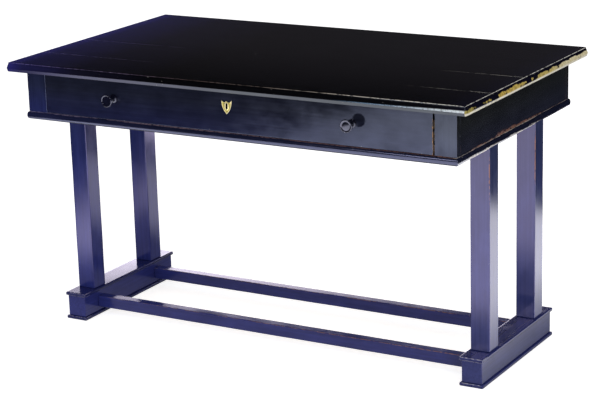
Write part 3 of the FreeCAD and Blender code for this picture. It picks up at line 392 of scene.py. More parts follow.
# painted highlight: a thin line just above the crease, stronger and wider towards the right
wider = add("multiply_add", share["towardsRight"], bareLook["highlightWide"], nose)
aboveCrease = add("MapRange", wider, *bareLook["aboveCrease"])
creaseLine = add("multiply", aboveCrease, share["belowCrease"])
paintedHighlightShare = add("multiply", creaseLine, add("multiply", share["gleamShare"], share["paleShare"]))
onFront = add("Mix", share["atRight"], paintedHighlightShare, 0.0)
paintedHighlight = add("blend", share["towardsRight"], linear(bareLook["gleam"]), linear(bareLook["paintedHighlight"]))
painted, polished = (shader.inputs[key].links[0].from_socket for key in ("Base Color", "Roughness"))
highlighted = add("blend", onFront, painted, paintedHighlight)
finished = {
    "Base Color": add("blend", bareShare, highlighted, bare).outputs[2],
    "Roughness": add("Mix", bareShare, polished, bareLook["rough"]).outputs[0],
    "Specular Tint": add("blend", share["rightward"], linear(bareLook["sheenLeft"]),
                         linear(topPaint["sheen"])).outputs[2]}
for key, source in finished.items():
    topWood.node_tree.links.new(source, shader.inputs[key])


# Bare pine: sawn and planed softwood left unpainted inside. Pale honey colour, darker lines along the grain.
def barePine(name, axis):
    material, add = newNodes(name)
    place = add("TexCoord").outputs["Object"]
    along, across = pineLook["lines"]
    lines = {"x": (along, across, across), "y": (across, along, across)}[axis]
    stretched = add("stretch", place, lines)
    figure = add("TexNoise", {"Vector": stretched, "Scale": 1.0, "Detail": pineLook["detail"],
                              "Distortion": pineLook["distortion"]})
    share = add("MapRange", figure, *pineLook["share"])
    colour = add("blend", share, *pineTones)
    rough = add("MapRange", figure, *pineLook["glossSpan"], *pineLook["gloss"])
    shadeWith(add, pineLook, figure, {"Base Color": colour, "Roughness": rough, "IOR": pineLook["ior"]})
    return material


pineAlongX = barePine("bare_pine_along_x", "x")
pineAlongY = barePine("bare_pine_along_y", "y")

metalLook = {"cloudSize": 8.0, "detail": 4.0, "share": (0.4, 0.65), "glossSpan": (0.3, 0.7), "relief": 0.15,
             "bumpDepth": 0.2}  # sizes in mm
brassLook = metalLook | {"bright": "#a5984f", "dull": "#7c7136", "ridge": "#cfc6a4", "gloss": (0.34, 0.48)}
steelLook = metalLook | {"bright": "#9a9a9c", "dull": "#6f6c6a", "ridge": "#b4b4b6", "gloss": (0.35, 0.5)}


# Old metal: rolled sheet, rubbed bright and partly dulled. A warm or grey metal, cloudy with tarnish, and
# brighter on ridges, which the ridge mark gives.
def oldMetal(name, look):
    material, add = newNodes(name)
    place = add("TexCoord").outputs["Object"]
    ridge = add("Attribute", attribute_name="ridge").outputs["Fac"]
    cloud = add("TexNoise", place, 1000 / look["cloudSize"], look["detail"])
    share = add("MapRange", cloud, *look["share"])
    aged = add("blend", share, linear(look["bright"]), linear(look["dull"]))
    colour = add("blend", ridge, aged, linear(look["ridge"]))
    rough = add("MapRange", cloud, *look["glossSpan"], *look["gloss"])
    shadeWith(add, look, cloud, {"Base Color": colour, "Roughness": rough, "Metallic": 1.0})
    return material


brass = oldMetal("rubbed_brass", brassLook)
steel = oldMetal("dull_steel", steelLook)
print("materials made")


def boardPatch(low, high, axis, radius, bands=(1, 2.5, 6, 15, 40), spacing=60, wander=0.0,
               waveSizes=(0.31, 0.13), seed=0, hole=None):
    # a box with rounded arrises: rings of rounded rectangles carried along one axis, drawn in over a
    # quarter circle at both ends and closed by flat caps. hole leaves one cell of the first cap open
    order = list({"x": (1, 2, 0), "y": (2, 0, 1), "z": (0, 1, 2)}[axis])
    middle, half = (low + high)[order] / 2, (high - low)[order] / 2
    bands, spacing = np.array(bands) * mm, spacing * mm
    narrow = min(half[:2])
    insets = np.array([radius + band for band in bands if radius + band < bandLimit * narrow])
    insets = insets if len(insets) else np.array([0.5 * narrow])
    inner = half[:2] - insets[-1]
    room = ((), ()) if hole is None else ((hole - middle[:2]) / inner).T
    cuts = [cutsFor(half[i], radius, bands, spacing, room[i]) for i in (0, 1)]
    angle = np.linspace(0, np.pi / 2, 5)
    rise, draw = radius * (1 - np.cos(angle)), radius * (1 - np.sin(angle))
    span = 2 * half[2]
    sideCuts = (cutsFor(half[2], radius, bands, spacing) + 1) * (half[2] - radius) + radius
    inset = np.concatenate([insets[::-1], draw, 0 * sideCuts, rise, insets])
    height = np.concatenate([0 * insets, rise, sideCuts, span - draw, 0 * insets + span])
    # the rounding wanders along the board, less near its ends
    worn = 1 + wander * waves(height, seed, *waveSizes) * np.sin(np.pi * height / span) ** 0.3
    flat = np.stack([loopAt(half[0] - d, half[1] - d, max(radius * w - d, 0), *cuts)
                     for d, w in zip(inset, worn)])
    levels = np.broadcast_to((height - half[2])[:, None, None], (*flat.shape[:2], 1))
    lines = [np.concatenate([[-1], cut, [1]]) * size for cut, size in zip(cuts, inner)]
    capPoints, capSides = gridSkin(lines, half[2])
    footSides = capSides[:, ::-1]
    if hole is not None:
        footSides = np.delete(footSides, cellAt(lines, hole.mean(axis=0) - middle[:2]), axis=0)
    points, sides = joined(skin(np.concatenate([flat, levels], axis=2)), (capPoints, capSides),
                           (capPoints * [1, 1, -1], footSides))
    back = np.empty_like(points)
    back[:, order] = points + middle
    return back, sides


def boxOf(node):
    return np.array(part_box(node))


def plainWear(share):
    return np.full(len(share), 0.8)


def addBoard(node, axes, look, material, seed, wear=plainWear, box=None):
    # a board or bar in the place of a CAD node, or within box: axes are its own and its grain's. wear gives
    # how far in arrises may be rubbed, in mm, from places as shares of the board's length, depth and height
    low, high = boxOf(node) if box is None else box
    options = {key: look[key] for key in ("wander", "waveSizes", "spacing") if key in look}
    patch = boardPatch(low, high, axes[0], look["radius"] * mm, seed=seed, **options)
    marks = {"edge": edgeMarks(patch[0], low, high), "grain": grainMarks(patch[0], axes[1], seed),
             "wear": mm * wear((patch[0] - low) / (high - low))}
    addPiece(node, patch, marks, "desk", material)


# posts: the shaft only, between the foot and the case
postLook = {"radius": 2.0, "wander": 0.35, "spacing": 20, "foot": 78.0, "head": 611.0, "width": 53.0,
            "across": 608.5, "along": 142.5, "rub": 2.6, "leastRub": 0.7,
            "rubbed": (0.68, 0.73, 0.92, 0.95)}  # shares of the height: from none to full, and back to none


def postWear(share):
    # most rubbed on the upper part of the arris between the front and right faces
    corner = (share[:, 0] > 0.6) & (share[:, 1] < 0.4)
    climb = np.interp(share[:, 2], postLook["rubbed"], (0, 1, 1, 0))
    return postLook["leastRub"] + corner * postLook["rub"] * climb


half = postLook["width"] / 2
for seed, (side, x) in enumerate((("left", -postLook["across"]), ("right", postLook["across"]))):
    for turn, (end, y) in enumerate((("front", -postLook["along"]), ("back", postLook["along"]))):
        low = np.array([x - half, y - half, postLook["foot"]]) * mm
        high = np.array([x + half, y + half, postLook["head"]]) * mm
        addBoard(f"post_{end}_{side}", "zz", postLook, baseWood, 2 * seed + turn + 1,
                 postWear if side == "right" else plainWear, (low, high))

# feet: block, cap and sole
blockLook = {"radius": 2.0}
lipLook = {"radius": 3.0, "rub": 2.6, "leastRub": 0.5}


# painted highlight: how far in from the front edges the pale worn colour reaches, in mm
def lipHighlightWidth(share):
    return np.where(share[:, 1] < 0.05, lipLook["rub"], lipLook["leastRub"])  # the front edges


for seed, side in enumerate(("left", "right")):
    addBoard(f"foot_block_{side}", "yy", blockLook, baseWood, seed + 5)
    addBoard(f"foot_cap_{side}", "zy", lipLook, lipWoodHighlighted, seed + 7, lipHighlightWidth)
    addBoard(f"foot_sole_{side}", "zy", lipLook, lipWoodHighlighted, seed + 9, lipHighlightWidth)

# stretchers
stretcherLook = {"radius": 1.8, "wander": 0.3, "spacing": 25, "reach": 580.5, "rub": 2.4, "leastRub": 0.6}


def stretcherWear(share):
    return np.where(share[:, 2] > 0.5, stretcherLook["rub"], stretcherLook["leastRub"])  # the upper arrises


for seed, end in enumerate(("front", "back")):
    low, high = boxOf(f"stretcher_{end}")
    low[0], high[0] = -stretcherLook["reach"] * mm, stretcherLook["reach"] * mm
    addBoard(f"stretcher_{end}", "xx", stretcherLook, stretcherWood, seed + 11, stretcherWear, (low, high))

# case: stiles, ends and back
stileLook = {"radius": 1.5, "wander": 0.5, "waveSizes": (0.061, 0.023), "spacing": 6, "back": -325.5,
             "rub": 2.2, "leastRub": 0.35}
panelLook = {"radius": 0.3, "front": -327.0, "back": 329.0, "rub": 1.2, "scuff": 13.0,
             "scuffAt": 0.42, "scuffWide": 0.25, "scuffTall": 0.3}  # shares of the depth and height


def stileWear(share):
    # along its foot and beside the drawer
    return np.where((share[:, 2] < 0.15) & (share[:, 0] < 0.9), stileLook["rub"], stileLook["leastRub"])


def endWear(share):
    # scuffed along the lower edge, most around the middle
    middle = np.exp(-((share[:, 1] - panelLook["scuffAt"]) / panelLook["scuffWide"]) ** 2)
    return (share[:, 2] < panelLook["scuffTall"]) * (panelLook["rub"] + panelLook["scuff"] * middle)


for seed, side in enumerate(("left", "right")):
    low, high = boxOf(f"front_stile_{side}")
    high[1] = stileLook["back"] * mm
    addBoard(f"front_stile_{side}", "zz", stileLook, caseWood, seed + 13, stileWear, (low, high))
    low, high = boxOf(f"end_panel_{side}")
    low[1], high[1] = panelLook["front"] * mm, panelLook["back"] * mm
    addBoard(f"end_panel_{side}", "xy", panelLook, caseWood, seed + 15, endWear, (low, high))
addBoard("back_panel", "yx", panelLook, caseWood, 17)
print("boards and bars made")

# drawer front, with a keyhole through its face
drawerLook = {"radius": 1.1, "inset": 0.15, "rightGap": 2.0, "bands": (1, 2.5, 6, 12), "keyX": -6.5,
              "keyZ": 695.2, "keyWide": 6.2, "keyTall": 16.0, "keyDeep": 15.0, "keyRim": 0.4, "cell": 6.0,
              "plainWithin": 0.2, "rub": 0.6, "leftRub": 1.3, "rightRub": 4.0, "endShare": 0.015}


def slotLoop(look, count=40):
    # keyhole outline: two half circles joined by straight sides, anticlockwise from the front
    angle = np.linspace(0, 2 * np.pi, count, endpoint=False) + np.pi / count
    radius = look["keyWide"] / 2
    straight = (look["keyTall"] - look["keyWide"]) / 2
    return np.stack([look["keyX"] + radius * np.cos(angle),
                     look["keyZ"] + radius * np.sin(angle) + straight * np.sign(np.sin(angle))], axis=1) * mm


low, high = boxOf("drawer_front")
low[0] += drawerLook["inset"] * mm
high[0] -= drawerLook["rightGap"] * mm
high[2] -= drawerLook["inset"] * mm
centre = np.array([drawerLook["keyZ"], drawerLook["keyX"]])
reach = np.array([drawerLook["keyTall"], drawerLook["keyWide"]]) / 2 + drawerLook["cell"]
cell = np.stack([centre - reach, centre + reach]) * mm  # low and high, each z and x
board = boardPatch(low, high, "y", drawerLook["radius"] * mm, bands=drawerLook["bands"], seed=19, hole=cell)
# from the cell's four corners to the slot: a fan at each corner and one triangle between fans
(zLow, xLow), (zHigh, xHigh) = cell
corners = np.array([[x, low[1], z] for x, z in ((xHigh, zHigh), (xLow, zHigh), (xLow, zLow), (xHigh, zLow))])
corners = board[0][np.linalg.norm(board[0][:, None] - corners, axis=2).argmin(axis=0)]
slot = slotLoop(drawerLook)
slotCount = len(slot)
rim = np.stack([slot[:, 0], np.full(slotCount, low[1]), slot[:, 1]], axis=1)
here = np.arange(slotCount)
fans = np.stack([here * 4 // slotCount, 4 + (here + 1) % slotCount, 4 + here, 4 + here], axis=1)
corner = np.arange(4)
following = 4 + (corner + 1) * slotCount // 4 % slotCount
links = np.stack([corner, (corner + 1) % 4, following, following], axis=1)
facePatch = (np.concatenate([corners, rim]), np.concatenate([fans, links]))
# the slot's tunnel, which the hollow mark paints black as shade
depths = np.array([0, drawerLook["keyRim"], drawerLook["keyDeep"], drawerLook["keyDeep"]]) * mm
tunnel = np.stack([rim + [0, depth, 0] for depth in depths])
tunnel[-1] = tunnel[-1].mean(axis=0)
patch = joined(board, facePatch, skin(tunnel))
points = patch[0]
along = (points[:, 0] - low[0]) / (high[0] - low[0])
marks = {"edge": edgeMarks(points, low, high), "grain": grainMarks(points, "x", 19),
         "shadedHollow": (np.arange(len(points)) >= len(points) - tunnel[1:].size // 3).astype(float),
         "plain": (points[:, 1] > high[1] - drawerLook["plainWithin"] * mm).astype(float),
         "wear": mm * np.select([along > 1 - drawerLook["endShare"], along < drawerLook["endShare"]],
                                [drawerLook["rightRub"], drawerLook["leftRub"]], drawerLook["rub"])}
addPiece("drawer_front", patch, marks, "drawer", caseWood)
print("drawer front made")

# top boards with their moulded edge
topLook = {
    "arrisX": 668.0, "arrisY": 379.0, "seams": (-227.0, -33.0, 159.0), "face": 762.0, "under": 738.0,
    "quirk": 3.5, "ledge": 0.5, "projection": 5.0, "slope": 8.5, "foot": 2.6, "cornerRound": 4.0,
    "arris": 0.8, "roundTall": 2.6, "roundDeep": 0.56, "flatFrom": 30.0, "pocketGap": 0.2, "pocketDeep": 8.0,
    "cutEnd": 10.0, "bands": ((1, 3, 8, 20, 50), (1, 3, 8, 20)), "spacing": (45, 24),  # cuts in x and y
    "arrisRub": 1.0, "moreRub": 0.5, "mouldEdge": 3.0,
    # seams from front to back, and how far out from the middle their wear starts and is full
    "seamRub": (1.0, 1.0, 0.3), "seamRight": (330.0, 560.0), "seamLeft": (200.0, 400.0), "leftMore": 1.1,
}


def topProfile(look):
    # edge section from the top face down: flat, rounded arris, quirk and ledge, a chamfer that a parabola
    # rounds off to the full projection at a crease, then a straight slope back to the underside
    face, under, arris = look["face"], look["under"], look["arris"]
    noseTop, crease = face - look["quirk"], under + look["slope"]
    roundFrom, roundTop = look["projection"] - look["roundDeep"], crease + look["roundTall"]
    chamfer = np.linspace(0, 1, 5, endpoint=False)
    turn = np.linspace(0, 1, 6)
    share = np.array([0.1, 0.4, 0.7, 1.0])
    offset = np.concatenate([[-look["flatFrom"], -15, -6, -2.5, -1.2, -arris, -0.3 * arris, 0, 0],
                             look["ledge"] + (roundFrom - look["ledge"]) * chamfer,
                             roundFrom + look["roundDeep"] * (2 * turn - turn ** 2),
                             look["projection"] + (look["foot"] - look["projection"]) * share,
                             [look["foot"] - 0.6, -8, -look["flatFrom"]]])
    level = np.concatenate([[face] * 6, [face - 0.3 * arris, face - arris, noseTop + 0.3],
                            noseTop + (roundTop - noseTop) * chamfer, roundTop + (crease - roundTop) * turn,
                            crease + (under + 0.4 - crease) * share, [under] * 3])
    # nose mark: 0 on the face, 0.05 under the quirk, 0.42 at the round, 0.55 at the crease, 1 at the foot
    along = np.concatenate([np.zeros(9), 0.05 + 0.37 * chamfer, 0.42 + 0.13 * turn, 0.55 + 0.43 * share,
                            [1, 0, 0]])
    return offset, level, along


def topBoardPatch(look, yLow, yHigh, freeFront, freeBack, seamRub, pocket=None):
    # outline loops of one board carried through the edge section; only outer edges take the moulding,
    # and edges that meet another board keep a small bevel. pocket is a box let into the underside
    offset, level, along = topProfile(look)
    seamOffset = np.where(level > look["face"] - look["arris"], np.minimum(offset, 0), 0.0)
    seamOffset[-2:] = offset[-2:]
    middle = np.array([0, (yLow + yHigh) / 2])
    half = np.array([look["arrisX"], (yHigh - yLow) / 2])
    inner = half - look["flatFrom"]
    room = ((), ()) if pocket is None else ((pocket[:, :2] - middle) / inner).T
    cuts = [cutsFor(half[i], look["cutEnd"], look["bands"][i], look["spacing"][i], room[i]) for i in (0, 1)]
    loops = []
    for out, seam in zip(offset, seamOffset):
        front, back = (out if free else seam for free in (freeFront, freeBack))
        halfY = (yHigh - yLow + front + back) / 2
        shift = (yLow + yHigh + back - front) / 2
        rounding = max(look["cornerRound"] + out, 0.0)
        loop, square = (loopAt(look["arrisX"] + out, halfY, corner, *cuts) for corner in (rounding, 0.0))
        keep = np.where(loop[:, 1] < 0, freeFront, freeBack)[:, None]
        loops.append(np.where(keep, loop, square) + [0, shift])
    rings = np.stack([np.column_stack([loop, np.full(len(loop), z)]) for loop, z in zip(loops, level)])
    lines = [np.concatenate([[-1], cuts[i], [1]]) * inner[i] + middle[i] for i in (0, 1)]
    top, (footPoints, footSides) = (gridSkin(lines, z) for z in (level[0], level[-1]))
    walls = []
    if pocket is not None:
        cell = cellAt(lines, pocket[:, :2].mean(axis=0))
        rim = footPoints[footSides[cell]]
        ceiling = np.column_stack([rim[:, :2], np.full(4, pocket[1, 2])])
        inside, quads = skin(np.stack([rim, ceiling, np.broadcast_to(ceiling.mean(axis=0), (4, 3))]))
        walls = [(inside, quads[:, ::-1])]
        footSides = np.delete(footSides, cell, axis=0)
    points, sides = joined(skin(rings[::-1]), top, (footPoints, footSides[:, ::-1]), *walls)
    nose = np.concatenate([np.repeat(along[::-1], rings.shape[1]), np.zeros(len(points) - rings.size // 3)])
    # distance to the nearest arris or seam, on the top face and arris only
    x, y, z = points.T
    gapX, gapFront, gapBack = look["arrisX"] - np.abs(x), y - yLow, yHigh - y
    gap = np.minimum(gapX, np.minimum(gapFront, gapBack))
    moulded = z < look["face"] - look["arris"] - 0.1
    edge = np.where(moulded, look["mouldEdge"], np.clip(gap, 0, farEdge))
    # outer arrises are rubbed all along and more to the right, seams only towards the ends, the moulding not
    freeGaps = [gapX] + [gapFront] * freeFront + [gapBack] * freeBack
    outer = np.min(freeGaps, axis=0) < gap + 0.01
    outerRub = look["arrisRub"] * (1 + look["moreRub"] * np.clip(x / look["arrisX"], 0, 1))
    ends = np.interp(x, look["seamRight"], (0, 1)) + np.interp(-x, look["seamLeft"], (0, look["leftMore"]))
    wear = np.where(outer, outerRub, np.where(gapFront < gapBack, *seamRub) * ends) * ~moulded
    return (points * mm, sides), {"edge": edge * mm, "nose": nose, "wear": wear * mm}


seamRubs = (0.0, *topLook["seamRub"], 0.0)
rows = [-topLook["arrisY"], *topLook["seams"], topLook["arrisY"]]
# room for the lock's keeper and for its bolt, which rises 6.5 mm past the underside
keeperLow, keeperHigh = (corner / mm for corner in boxOf("lock_keeper"))
keeperRoom = np.stack([keeperLow - topLook["pocketGap"], keeperHigh + topLook["pocketGap"]])
keeperRoom[1, 2] = topLook["under"] + topLook["pocketDeep"]
for index, name in enumerate(("front", "second", "third", "back")):
    patch, marks = topBoardPatch(topLook, rows[index], rows[index + 1], index == 0, index == 3,
                                 seamRubs[index:index + 2], keeperRoom if index == 0 else None)
    marks["grain"] = grainMarks(patch[0], "x", index + 21)
    addPiece(f"top_board_{name}", patch, marks, "desk", topWood)
print("top boards made")

# bead round the foot of the case
beadLook = {"halfX": 631.0, "halfY": 347.0, "foot": 606.0, "head": 625.8, "projection": 4.5, "root": 7.5,
            "bulge": (2.3, 0.55), "around": 17, "steps": 41,
            "rub": {"front": 1.6, "right": 0.5, "back": 1.0, "left": 1.0},
            # on the right, in mm from front to back: a scuff, and the foot's pale rubbing, partly a painted
            # highlight, with its shares
            "scuff": 1.5, "scuffAt": -50.0, "scuffWide": 200.0,
            "footWearAndHighlight": 18.0, "footPlaces": (-320.0, -260.0, 50.0, 200.0), "footShares": (0.2, 1.0, 1.0, 0.2)}


def beadPatch(look, half, face, quarter):
    # a half-round section carried along one side of the case; each end is mitred, so the run grows
    # by as much as the section stands out
    turn = np.linspace(-1, 1, look["around"])
    middle, rise = (look["foot"] + look["head"]) / 2, (look["head"] - look["foot"]) / 2
    inner, outer = look["bulge"]
    out = np.append(look["projection"] * (1 - np.abs(turn) ** inner) ** outer, [-look["root"]] * 2)
    level = np.append(middle + rise * turn, [look["head"], look["foot"]])
    run = np.linspace(-1, 1, look["steps"])[:, None] * (half + out)[None, :]
    rings = np.stack([run, 0 * run - face - out, 0 * run + level], axis=2)
    ends = [np.broadcast_to(rings[i].mean(axis=0), rings[i].shape)[None] for i in (0, -1)]
    points, sides = skin(np.concatenate([ends[0], rings, ends[1]]))
    c, s = np.cos(quarter * np.pi / 2), np.sin(quarter * np.pi / 2)
    turned = points @ np.array([[c, s, 0], [-s, c, 0], [0, 0, 1]])
    return (turned * mm, sides[:, ::-1]), (look["head"] - points[:, 2]) * mm


for quarter, name in enumerate(("front", "right", "back", "left")):
    grainAxis = "xy"[quarter % 2]
    halves = (beadLook["halfX"], beadLook["halfY"])
    patch, edge = beadPatch(beadLook, halves[quarter % 2], halves[1 - quarter % 2], quarter)
    marks = {"edge": edge, "grain": grainMarks(patch[0], grainAxis, quarter + 26),
             "wear": np.full(len(patch[0]), mm * beadLook["rub"][name])}
    # the right bead's pale foot is partly a painted highlight
    if name == "right":  # scuffed around its middle, and along its foot towards the front
        y, fromFoot = patch[0][:, 1] / mm, patch[0][:, 2] - beadLook["foot"] * mm
        low = fromFoot < edge
        marks["edge"] = np.where(low, fromFoot, edge)
        middle = np.exp(-((y - beadLook["scuffAt"]) / beadLook["scuffWide"]) ** 2)
        forward = np.interp(y, beadLook["footPlaces"], beadLook["footShares"])
        marks["wear"] += mm * np.where(low, beadLook["footWearAndHighlight"] * forward, beadLook["scuff"] * middle)
    addPiece(f"bead_{name}", patch, marks, "desk", beadWood)
print("bead made")

# turned knobs
knobLook = {
    "x": 352.0, "z": 685.0, "face": -347.0, "around": 72,
    # radius and height of the turning, from the drawer outwards
    "section": ((0, 0), (11, 0), (11, 2.0), (10.6, 2.8), (9.8, 3.1), (8.2, 3.3), (7.0, 4.2), (6.1, 6.5),
                (5.7, 9.5), (5.8, 12.5), (6.4, 16), (7.6, 19.5), (9.2, 22.4), (11.0, 25.0), (12.6, 27.2),
                (14.2, 28.8), (15.9, 30.0), (16.8, 31.2), (17.0, 32.4), (16.9, 33.6), (16.5, 34.7),
                (15.7, 35.4), (14.7, 35.6), (13.8, 35.2), (13.2, 34.6), (12.6, 34.5), (10, 34.62),
                (7, 34.72), (4, 34.78), (0, 34.8)),
}


def knobPatch(look, x):
    # the section turned round an axis that points out of the drawer
    radius, height = np.array(look["section"]).T[:, :, None]
    angle = np.linspace(0, 2 * np.pi, look["around"], endpoint=False)
    return skin(np.stack([x + radius * np.cos(angle), look["face"] - height + 0 * angle,
                          look["z"] + radius * np.sin(angle)], axis=2) * mm)


for seed, (side, x) in enumerate((("left", -knobLook["x"]), ("right", knobLook["x"]))):
    patch = knobPatch(knobLook, x)
    marks = {"edge": np.full(len(patch[0]), farEdge * mm), "grain": grainMarks(patch[0], "y", seed + 31),
             "wear": np.zeros(len(patch[0]))}
    addPiece(f"knob_{side}", patch, marks, "drawer", knobWood)

# escutcheon
shieldLook = {"x": -6.5, "z": 692.6, "face": -347.0, "width": 30.0, "height": 35.0, "scoop": 5.0,
              "scoopCurve": 1.6, "bump": 8.0, "bumpRise": 2.6, "sideCurve": 4.2,
              # across the plate from the slot to the outline: share of the way, depth and ridge mark
              "relief": ((0.0, 0.9, 0.3), (0.04, 1.35, 0.9), (0.14, 1.45, 1.0), (0.24, 1.3, 0.6),
                         (0.34, 1.05, 0.0), (0.74, 1.0, 0.0), (0.84, 1.2, 0.5), (0.92, 1.3, 0.9),
                         (0.98, 1.15, 0.8), (1.0, 0.8, 0.2))}


def shieldLoop(look, count=24):
    # shield outline from its tip, anticlockwise: five curves, each its chord plus an outward rise
    # that follows four times t times one minus t
    w, h = look["width"] / 2, look["height"] / 2
    bump, shoulder = look["bump"] / 2, h - look["scoop"]
    ends = np.array([(0, -h), (w, h), (bump, shoulder), (-bump, shoulder), (-w, h)])
    rises = np.array([look["sideCurve"], -look["scoopCurve"], look["bumpRise"], -look["scoopCurve"],
                      look["sideCurve"]])
    chords = np.roll(ends, -1, axis=0) - ends
    outward = np.stack([chords[:, 1], -chords[:, 0]], axis=1) / np.linalg.norm(chords, axis=1)[:, None]
    t = np.linspace(0, 1, count, endpoint=False)[None, :, None]
    curve = ends[:, None] + chords[:, None] * t + (outward * rises[:, None])[:, None] * 4 * t * (1 - t)
    return curve.reshape(-1, 2)


def shieldPatch(look, slotShape):
    # rings from the slot's back edge over the face to the outline's back edge: each is the slot's outline
    # moved its share of the way to the shield's, at its own depth
    outer = shieldLoop(look)
    count = len(outer)
    slotRing = slotLoop(slotShape, count) / mm - [look["x"], look["z"]]
    slotRing = np.roll(slotRing, count // 4, axis=0)  # start under the slot, as the outline does
    share, depth, ridge = np.array([(0, 0, 0), *look["relief"], (1, 0, 0)]).T
    flat = slotRing + share[:, None, None] * (outer - slotRing)
    depths = np.broadcast_to(depth[:, None], flat.shape[:2])
    solid = np.stack([look["x"] + flat[..., 0], look["face"] - depths, look["z"] + flat[..., 1]], axis=2)
    points, sides = skin(solid * mm, wrap=True)
    return (points, sides[:, ::-1]), np.repeat(ridge, count)


patch, ridge = shieldPatch(shieldLook, drawerLook)
addPiece("escutcheon", patch, {"ridge": ridge}, "drawer", brass)
print("knobs and escutcheon made")

# CAD nodes that stay in view keep their shape and take a finish
finishes = {
    pineAlongX: ("frame_rail_front", "frame_rail_back", "drawer_back", "drawer_stops", "drawer_bottom_left",
                 "drawer_bottom_right"),
    pineAlongY: ("top_batten_left", "top_batten_middle", "top_batten_right", "top_buttons", "corner_blocks",
                 "bearer_left", "bearer_right", "frame_rail_left", "frame_rail_right", "drawer_runner_left",
                 "drawer_runner_right", "drawer_side_left", "drawer_side_right", "drawer_muntin"),
    brass: ("escutcheon_pins", "lock_keeper", "keeper_screws", "lock_bolt"),
    steel: ("batten_screws", "button_screws", "bearer_screws", "lock_screws", "lock_case"),
}
for material, names in finishes.items():
    for name in names:
        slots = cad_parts[name].data.materials
        slots.clear()
        slots.append(material)
print("CAD nodes finished")


def flatSheet(name, corners, material):
    mesh = bpy.data.meshes.new(name)
    mesh.from_pydata(corners, [], [(0, 1, 2, 3)])
    mesh.materials.append(material)
    sheet = addObject(name, mesh)
    return sheet


# White paper floor: white to the camera, with the desk's soft shadow. To mirrored rays alone it glows as a
# bright sheet, painted light that stops behind and to the left of the desk, with a painted shadow under it.
white = linear("#ffffff")
floorLook = {
    "half": 30.0, "shade": "#f4f4f4", "glow": 0.74, "sheet": 4.9,
    # where the sheet ends on the left, with a bow, and behind, in metres, and its light behind the desk
    "left": (-1.56, -1.18), "leftBow": 0.2, "bowAt": -1.4, "back": (1.2, 1.44, 1.0, 0.0),
    "behind": (-0.2, 0.2), "backShare": (0.2, 0.9, 0.42, 0.76),
    # painted shadow: where the sheet is dim under the desk, in x and in y, and its light there
    "shadedHollow": ((-1.12, 0.78), (-0.64, 0.62)), "shadedHollowSoft": 0.15, "shadedHollowLight": 0.12,
}
paper, add = newNodes("studio_paper")
ray = add("LightPath").outputs
spot = add("SeparateXYZ", add("TexCoord").outputs["Object"]).outputs
awayBow = add("absolute", add("subtract", spot[1], floorLook["bowAt"]))
slant = add("multiply_add", awayBow, -floorLook["leftBow"], spot[0])
leftEdge = add("ease", slant, *floorLook["left"])
backEdge = add("ease", spot[1], *floorLook["back"])
clearOfShadow = []
for axis, (start, stop) in enumerate(floorLook["shadedHollow"]):
    away = add("absolute", add("subtract", spot[axis], (start + stop) / 2))
    reach, soft = (stop - start) / 2, floorLook["shadedHollowSoft"]
    clearOfShadow.append(add("ease", away, reach - soft, reach + soft))
clear = add("maximum", *clearOfShadow)
paintedShadowFactor = add("MapRange", clear, 0.0, 1.0, floorLook["shadedHollowLight"], 1.0)
behind = add("MapRange", spot[1], *floorLook["behind"])
dimmed = add("MapRange", spot[0], *floorLook["backShare"])
level = add("Mix", behind, 1.0, dimmed)
power = leftEdge
for part in (backEdge, level, paintedShadowFactor, floorLook["sheet"]):
    power = add("multiply", power, part)
# painted light: the glow that mirrored rays alone see, standing in for the lit floor
mirrored = add("Emission", white, power)
shade = add("BsdfDiffuse", linear(floorLook["shade"]))
seen = add("AddShader", shade, add("Emission", white, floorLook["glow"]))
plain = add("MixShader", ray["Is Camera Ray"], shade, seen)
add("OutputMaterial", add("MixShader", ray["Is Glossy Ray"], plain, mirrored))
far = floorLook["half"]
flatSheet("studio_floor", [(-far, -far, 0), (far, -far, 0), (far, far, 0), (-far, far, 0)], paper)

# White card behind and to the left, bright only low down: foot caps and stretchers mirror that, and the back
# of the top its dim upper part. It lights nothing from its back
cardLook = {"left": -3.2, "right": 0.6, "y": 1.6, "foot": 0.01, "head": 1.4, "colour": "#f0e8f8",
            "slope": 0.17,  # how much lower it darkens with each metre to the right
            "low": (0.36, 0.52, 5.4, 0.0), "high": (1.12, 1.3, 0.04, 0.0)}  # heights in metres, light there
cardPaint, add = newNodes("studio_card")
spot = add("SeparateXYZ", add("TexCoord").outputs["Object"]).outputs
slope = add("multiply_add", spot[0], cardLook["slope"], spot[2])
lower = add("ease", slope, *cardLook["low"])
upper = add("MapRange", spot[2], *cardLook["high"])
facing = add("subtract", 1.0, add("NewGeometry").outputs["Backfacing"])
power = add("multiply", add("add", lower, upper), facing)
add("OutputMaterial", add("Emission", linear(cardLook["colour"]), power))
corners = [("left", "foot"), ("right", "foot"), ("right", "head"), ("left", "head")]
card = flatSheet("studio_card", [(cardLook[x], cardLook["y"], cardLook[z]) for x, z in corners], cardPaint)
card.visible_camera = card.visible_diffuse = card.visible_shadow = False

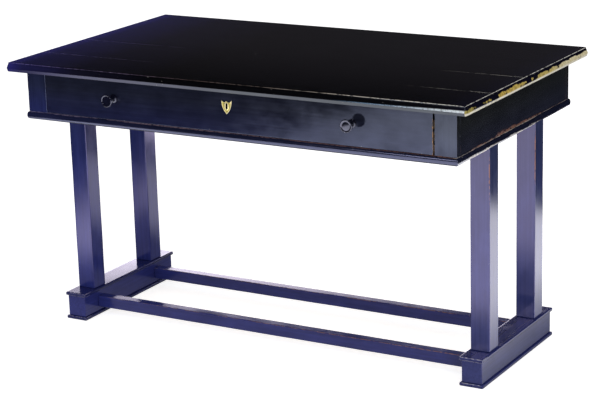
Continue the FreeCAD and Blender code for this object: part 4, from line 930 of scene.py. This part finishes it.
# colour and strength of the world as light, as mirrored and as seen
worldLook = {"fill": ("#ffffff", 0.5), "mirrored": ("#d2ccff", 0.009), "seen": ("#ffffff", 1.0)}
bpy.context.scene.world, add = newNodes("studio_world", bpy.data.worlds)
ray = add("LightPath").outputs
fill, mirrored, seen = (add("Background", linear(colour), strength)
                        for colour, strength in worldLook.values())
unseen = add("MixShader", ray["Is Glossy Ray"], fill, mirrored)
add("OutputWorld", add("MixShader", ray["Is Camera Ray"], unseen, seen))


def placeAt(thing, axes, place):
    # axes has the thing's right, up and back as columns
    placed = np.eye(4)
    placed[:3, :3], placed[:3, 3] = axes, place
    thing.matrix_world = Matrix(placed.tolist())


lampLook = {
    # place, what it points at, size, watts
    "overhead": ((0.4, -0.3, 2.8), (0.2, 0.0, 0.7), (2.2, 2.0), 18.0),
    "strip": ((-0.5, -2.5, 1.0), (0.4, -0.3, 0.7), (0.3, 0.5), 5.0),
    "side": ((2.6, -2.0, 1.8), (0.0, 0.0, 0.5), (1.4, 1.4), 16.0),
}
for name, (place, aim, size, watts) in lampLook.items():
    lamp = bpy.data.lights.new(name + "_softbox", "AREA")
    lamp.shape = "RECTANGLE"
    lamp.size, lamp.size_y = size
    lamp.energy = watts
    back = np.subtract(place, aim) / np.linalg.norm(np.subtract(place, aim))
    right = np.cross((0, 0, 1), back)
    right = right / np.linalg.norm(right)
    axes = np.stack([right, np.cross(back, right), back], axis=1)
    placeAt(addObject(name + "_softbox", lamp), axes, place)

cameraLook = {"azimuth": 30.1140, "elevation": 15.8385, "roll": -1.6422,
              "focal": 1942.959, "frameWidth": 600,  # pixels
              "offset": (12.041, -334.137, -5360.399)}  # mm, the desk's origin as the camera has it
az, el, roll = (math.radians(cameraLook[key]) for key in ("azimuth", "elevation", "roll"))
back = np.array([math.sin(az) * math.cos(el), -math.cos(az) * math.cos(el), math.sin(el)])
right = np.array([math.cos(az), math.sin(az), 0.0])
up = np.cross(back, right)
axes = np.stack([math.cos(roll) * right + math.sin(roll) * up,
                 math.cos(roll) * up - math.sin(roll) * right, back], axis=1)
lens = bpy.data.cameras.new("photo_camera")
lens.sensor_width = 36.0
lens.lens = cameraLook["focal"] * lens.sensor_width / cameraLook["frameWidth"]
camera = addObject("photo_camera", lens)
placeAt(camera, axes, -axes @ (np.array(cameraLook["offset"]) * mm))
bpy.context.scene.camera = camera
bpy.context.scene.view_settings.view_transform = "Standard"
print("studio set")
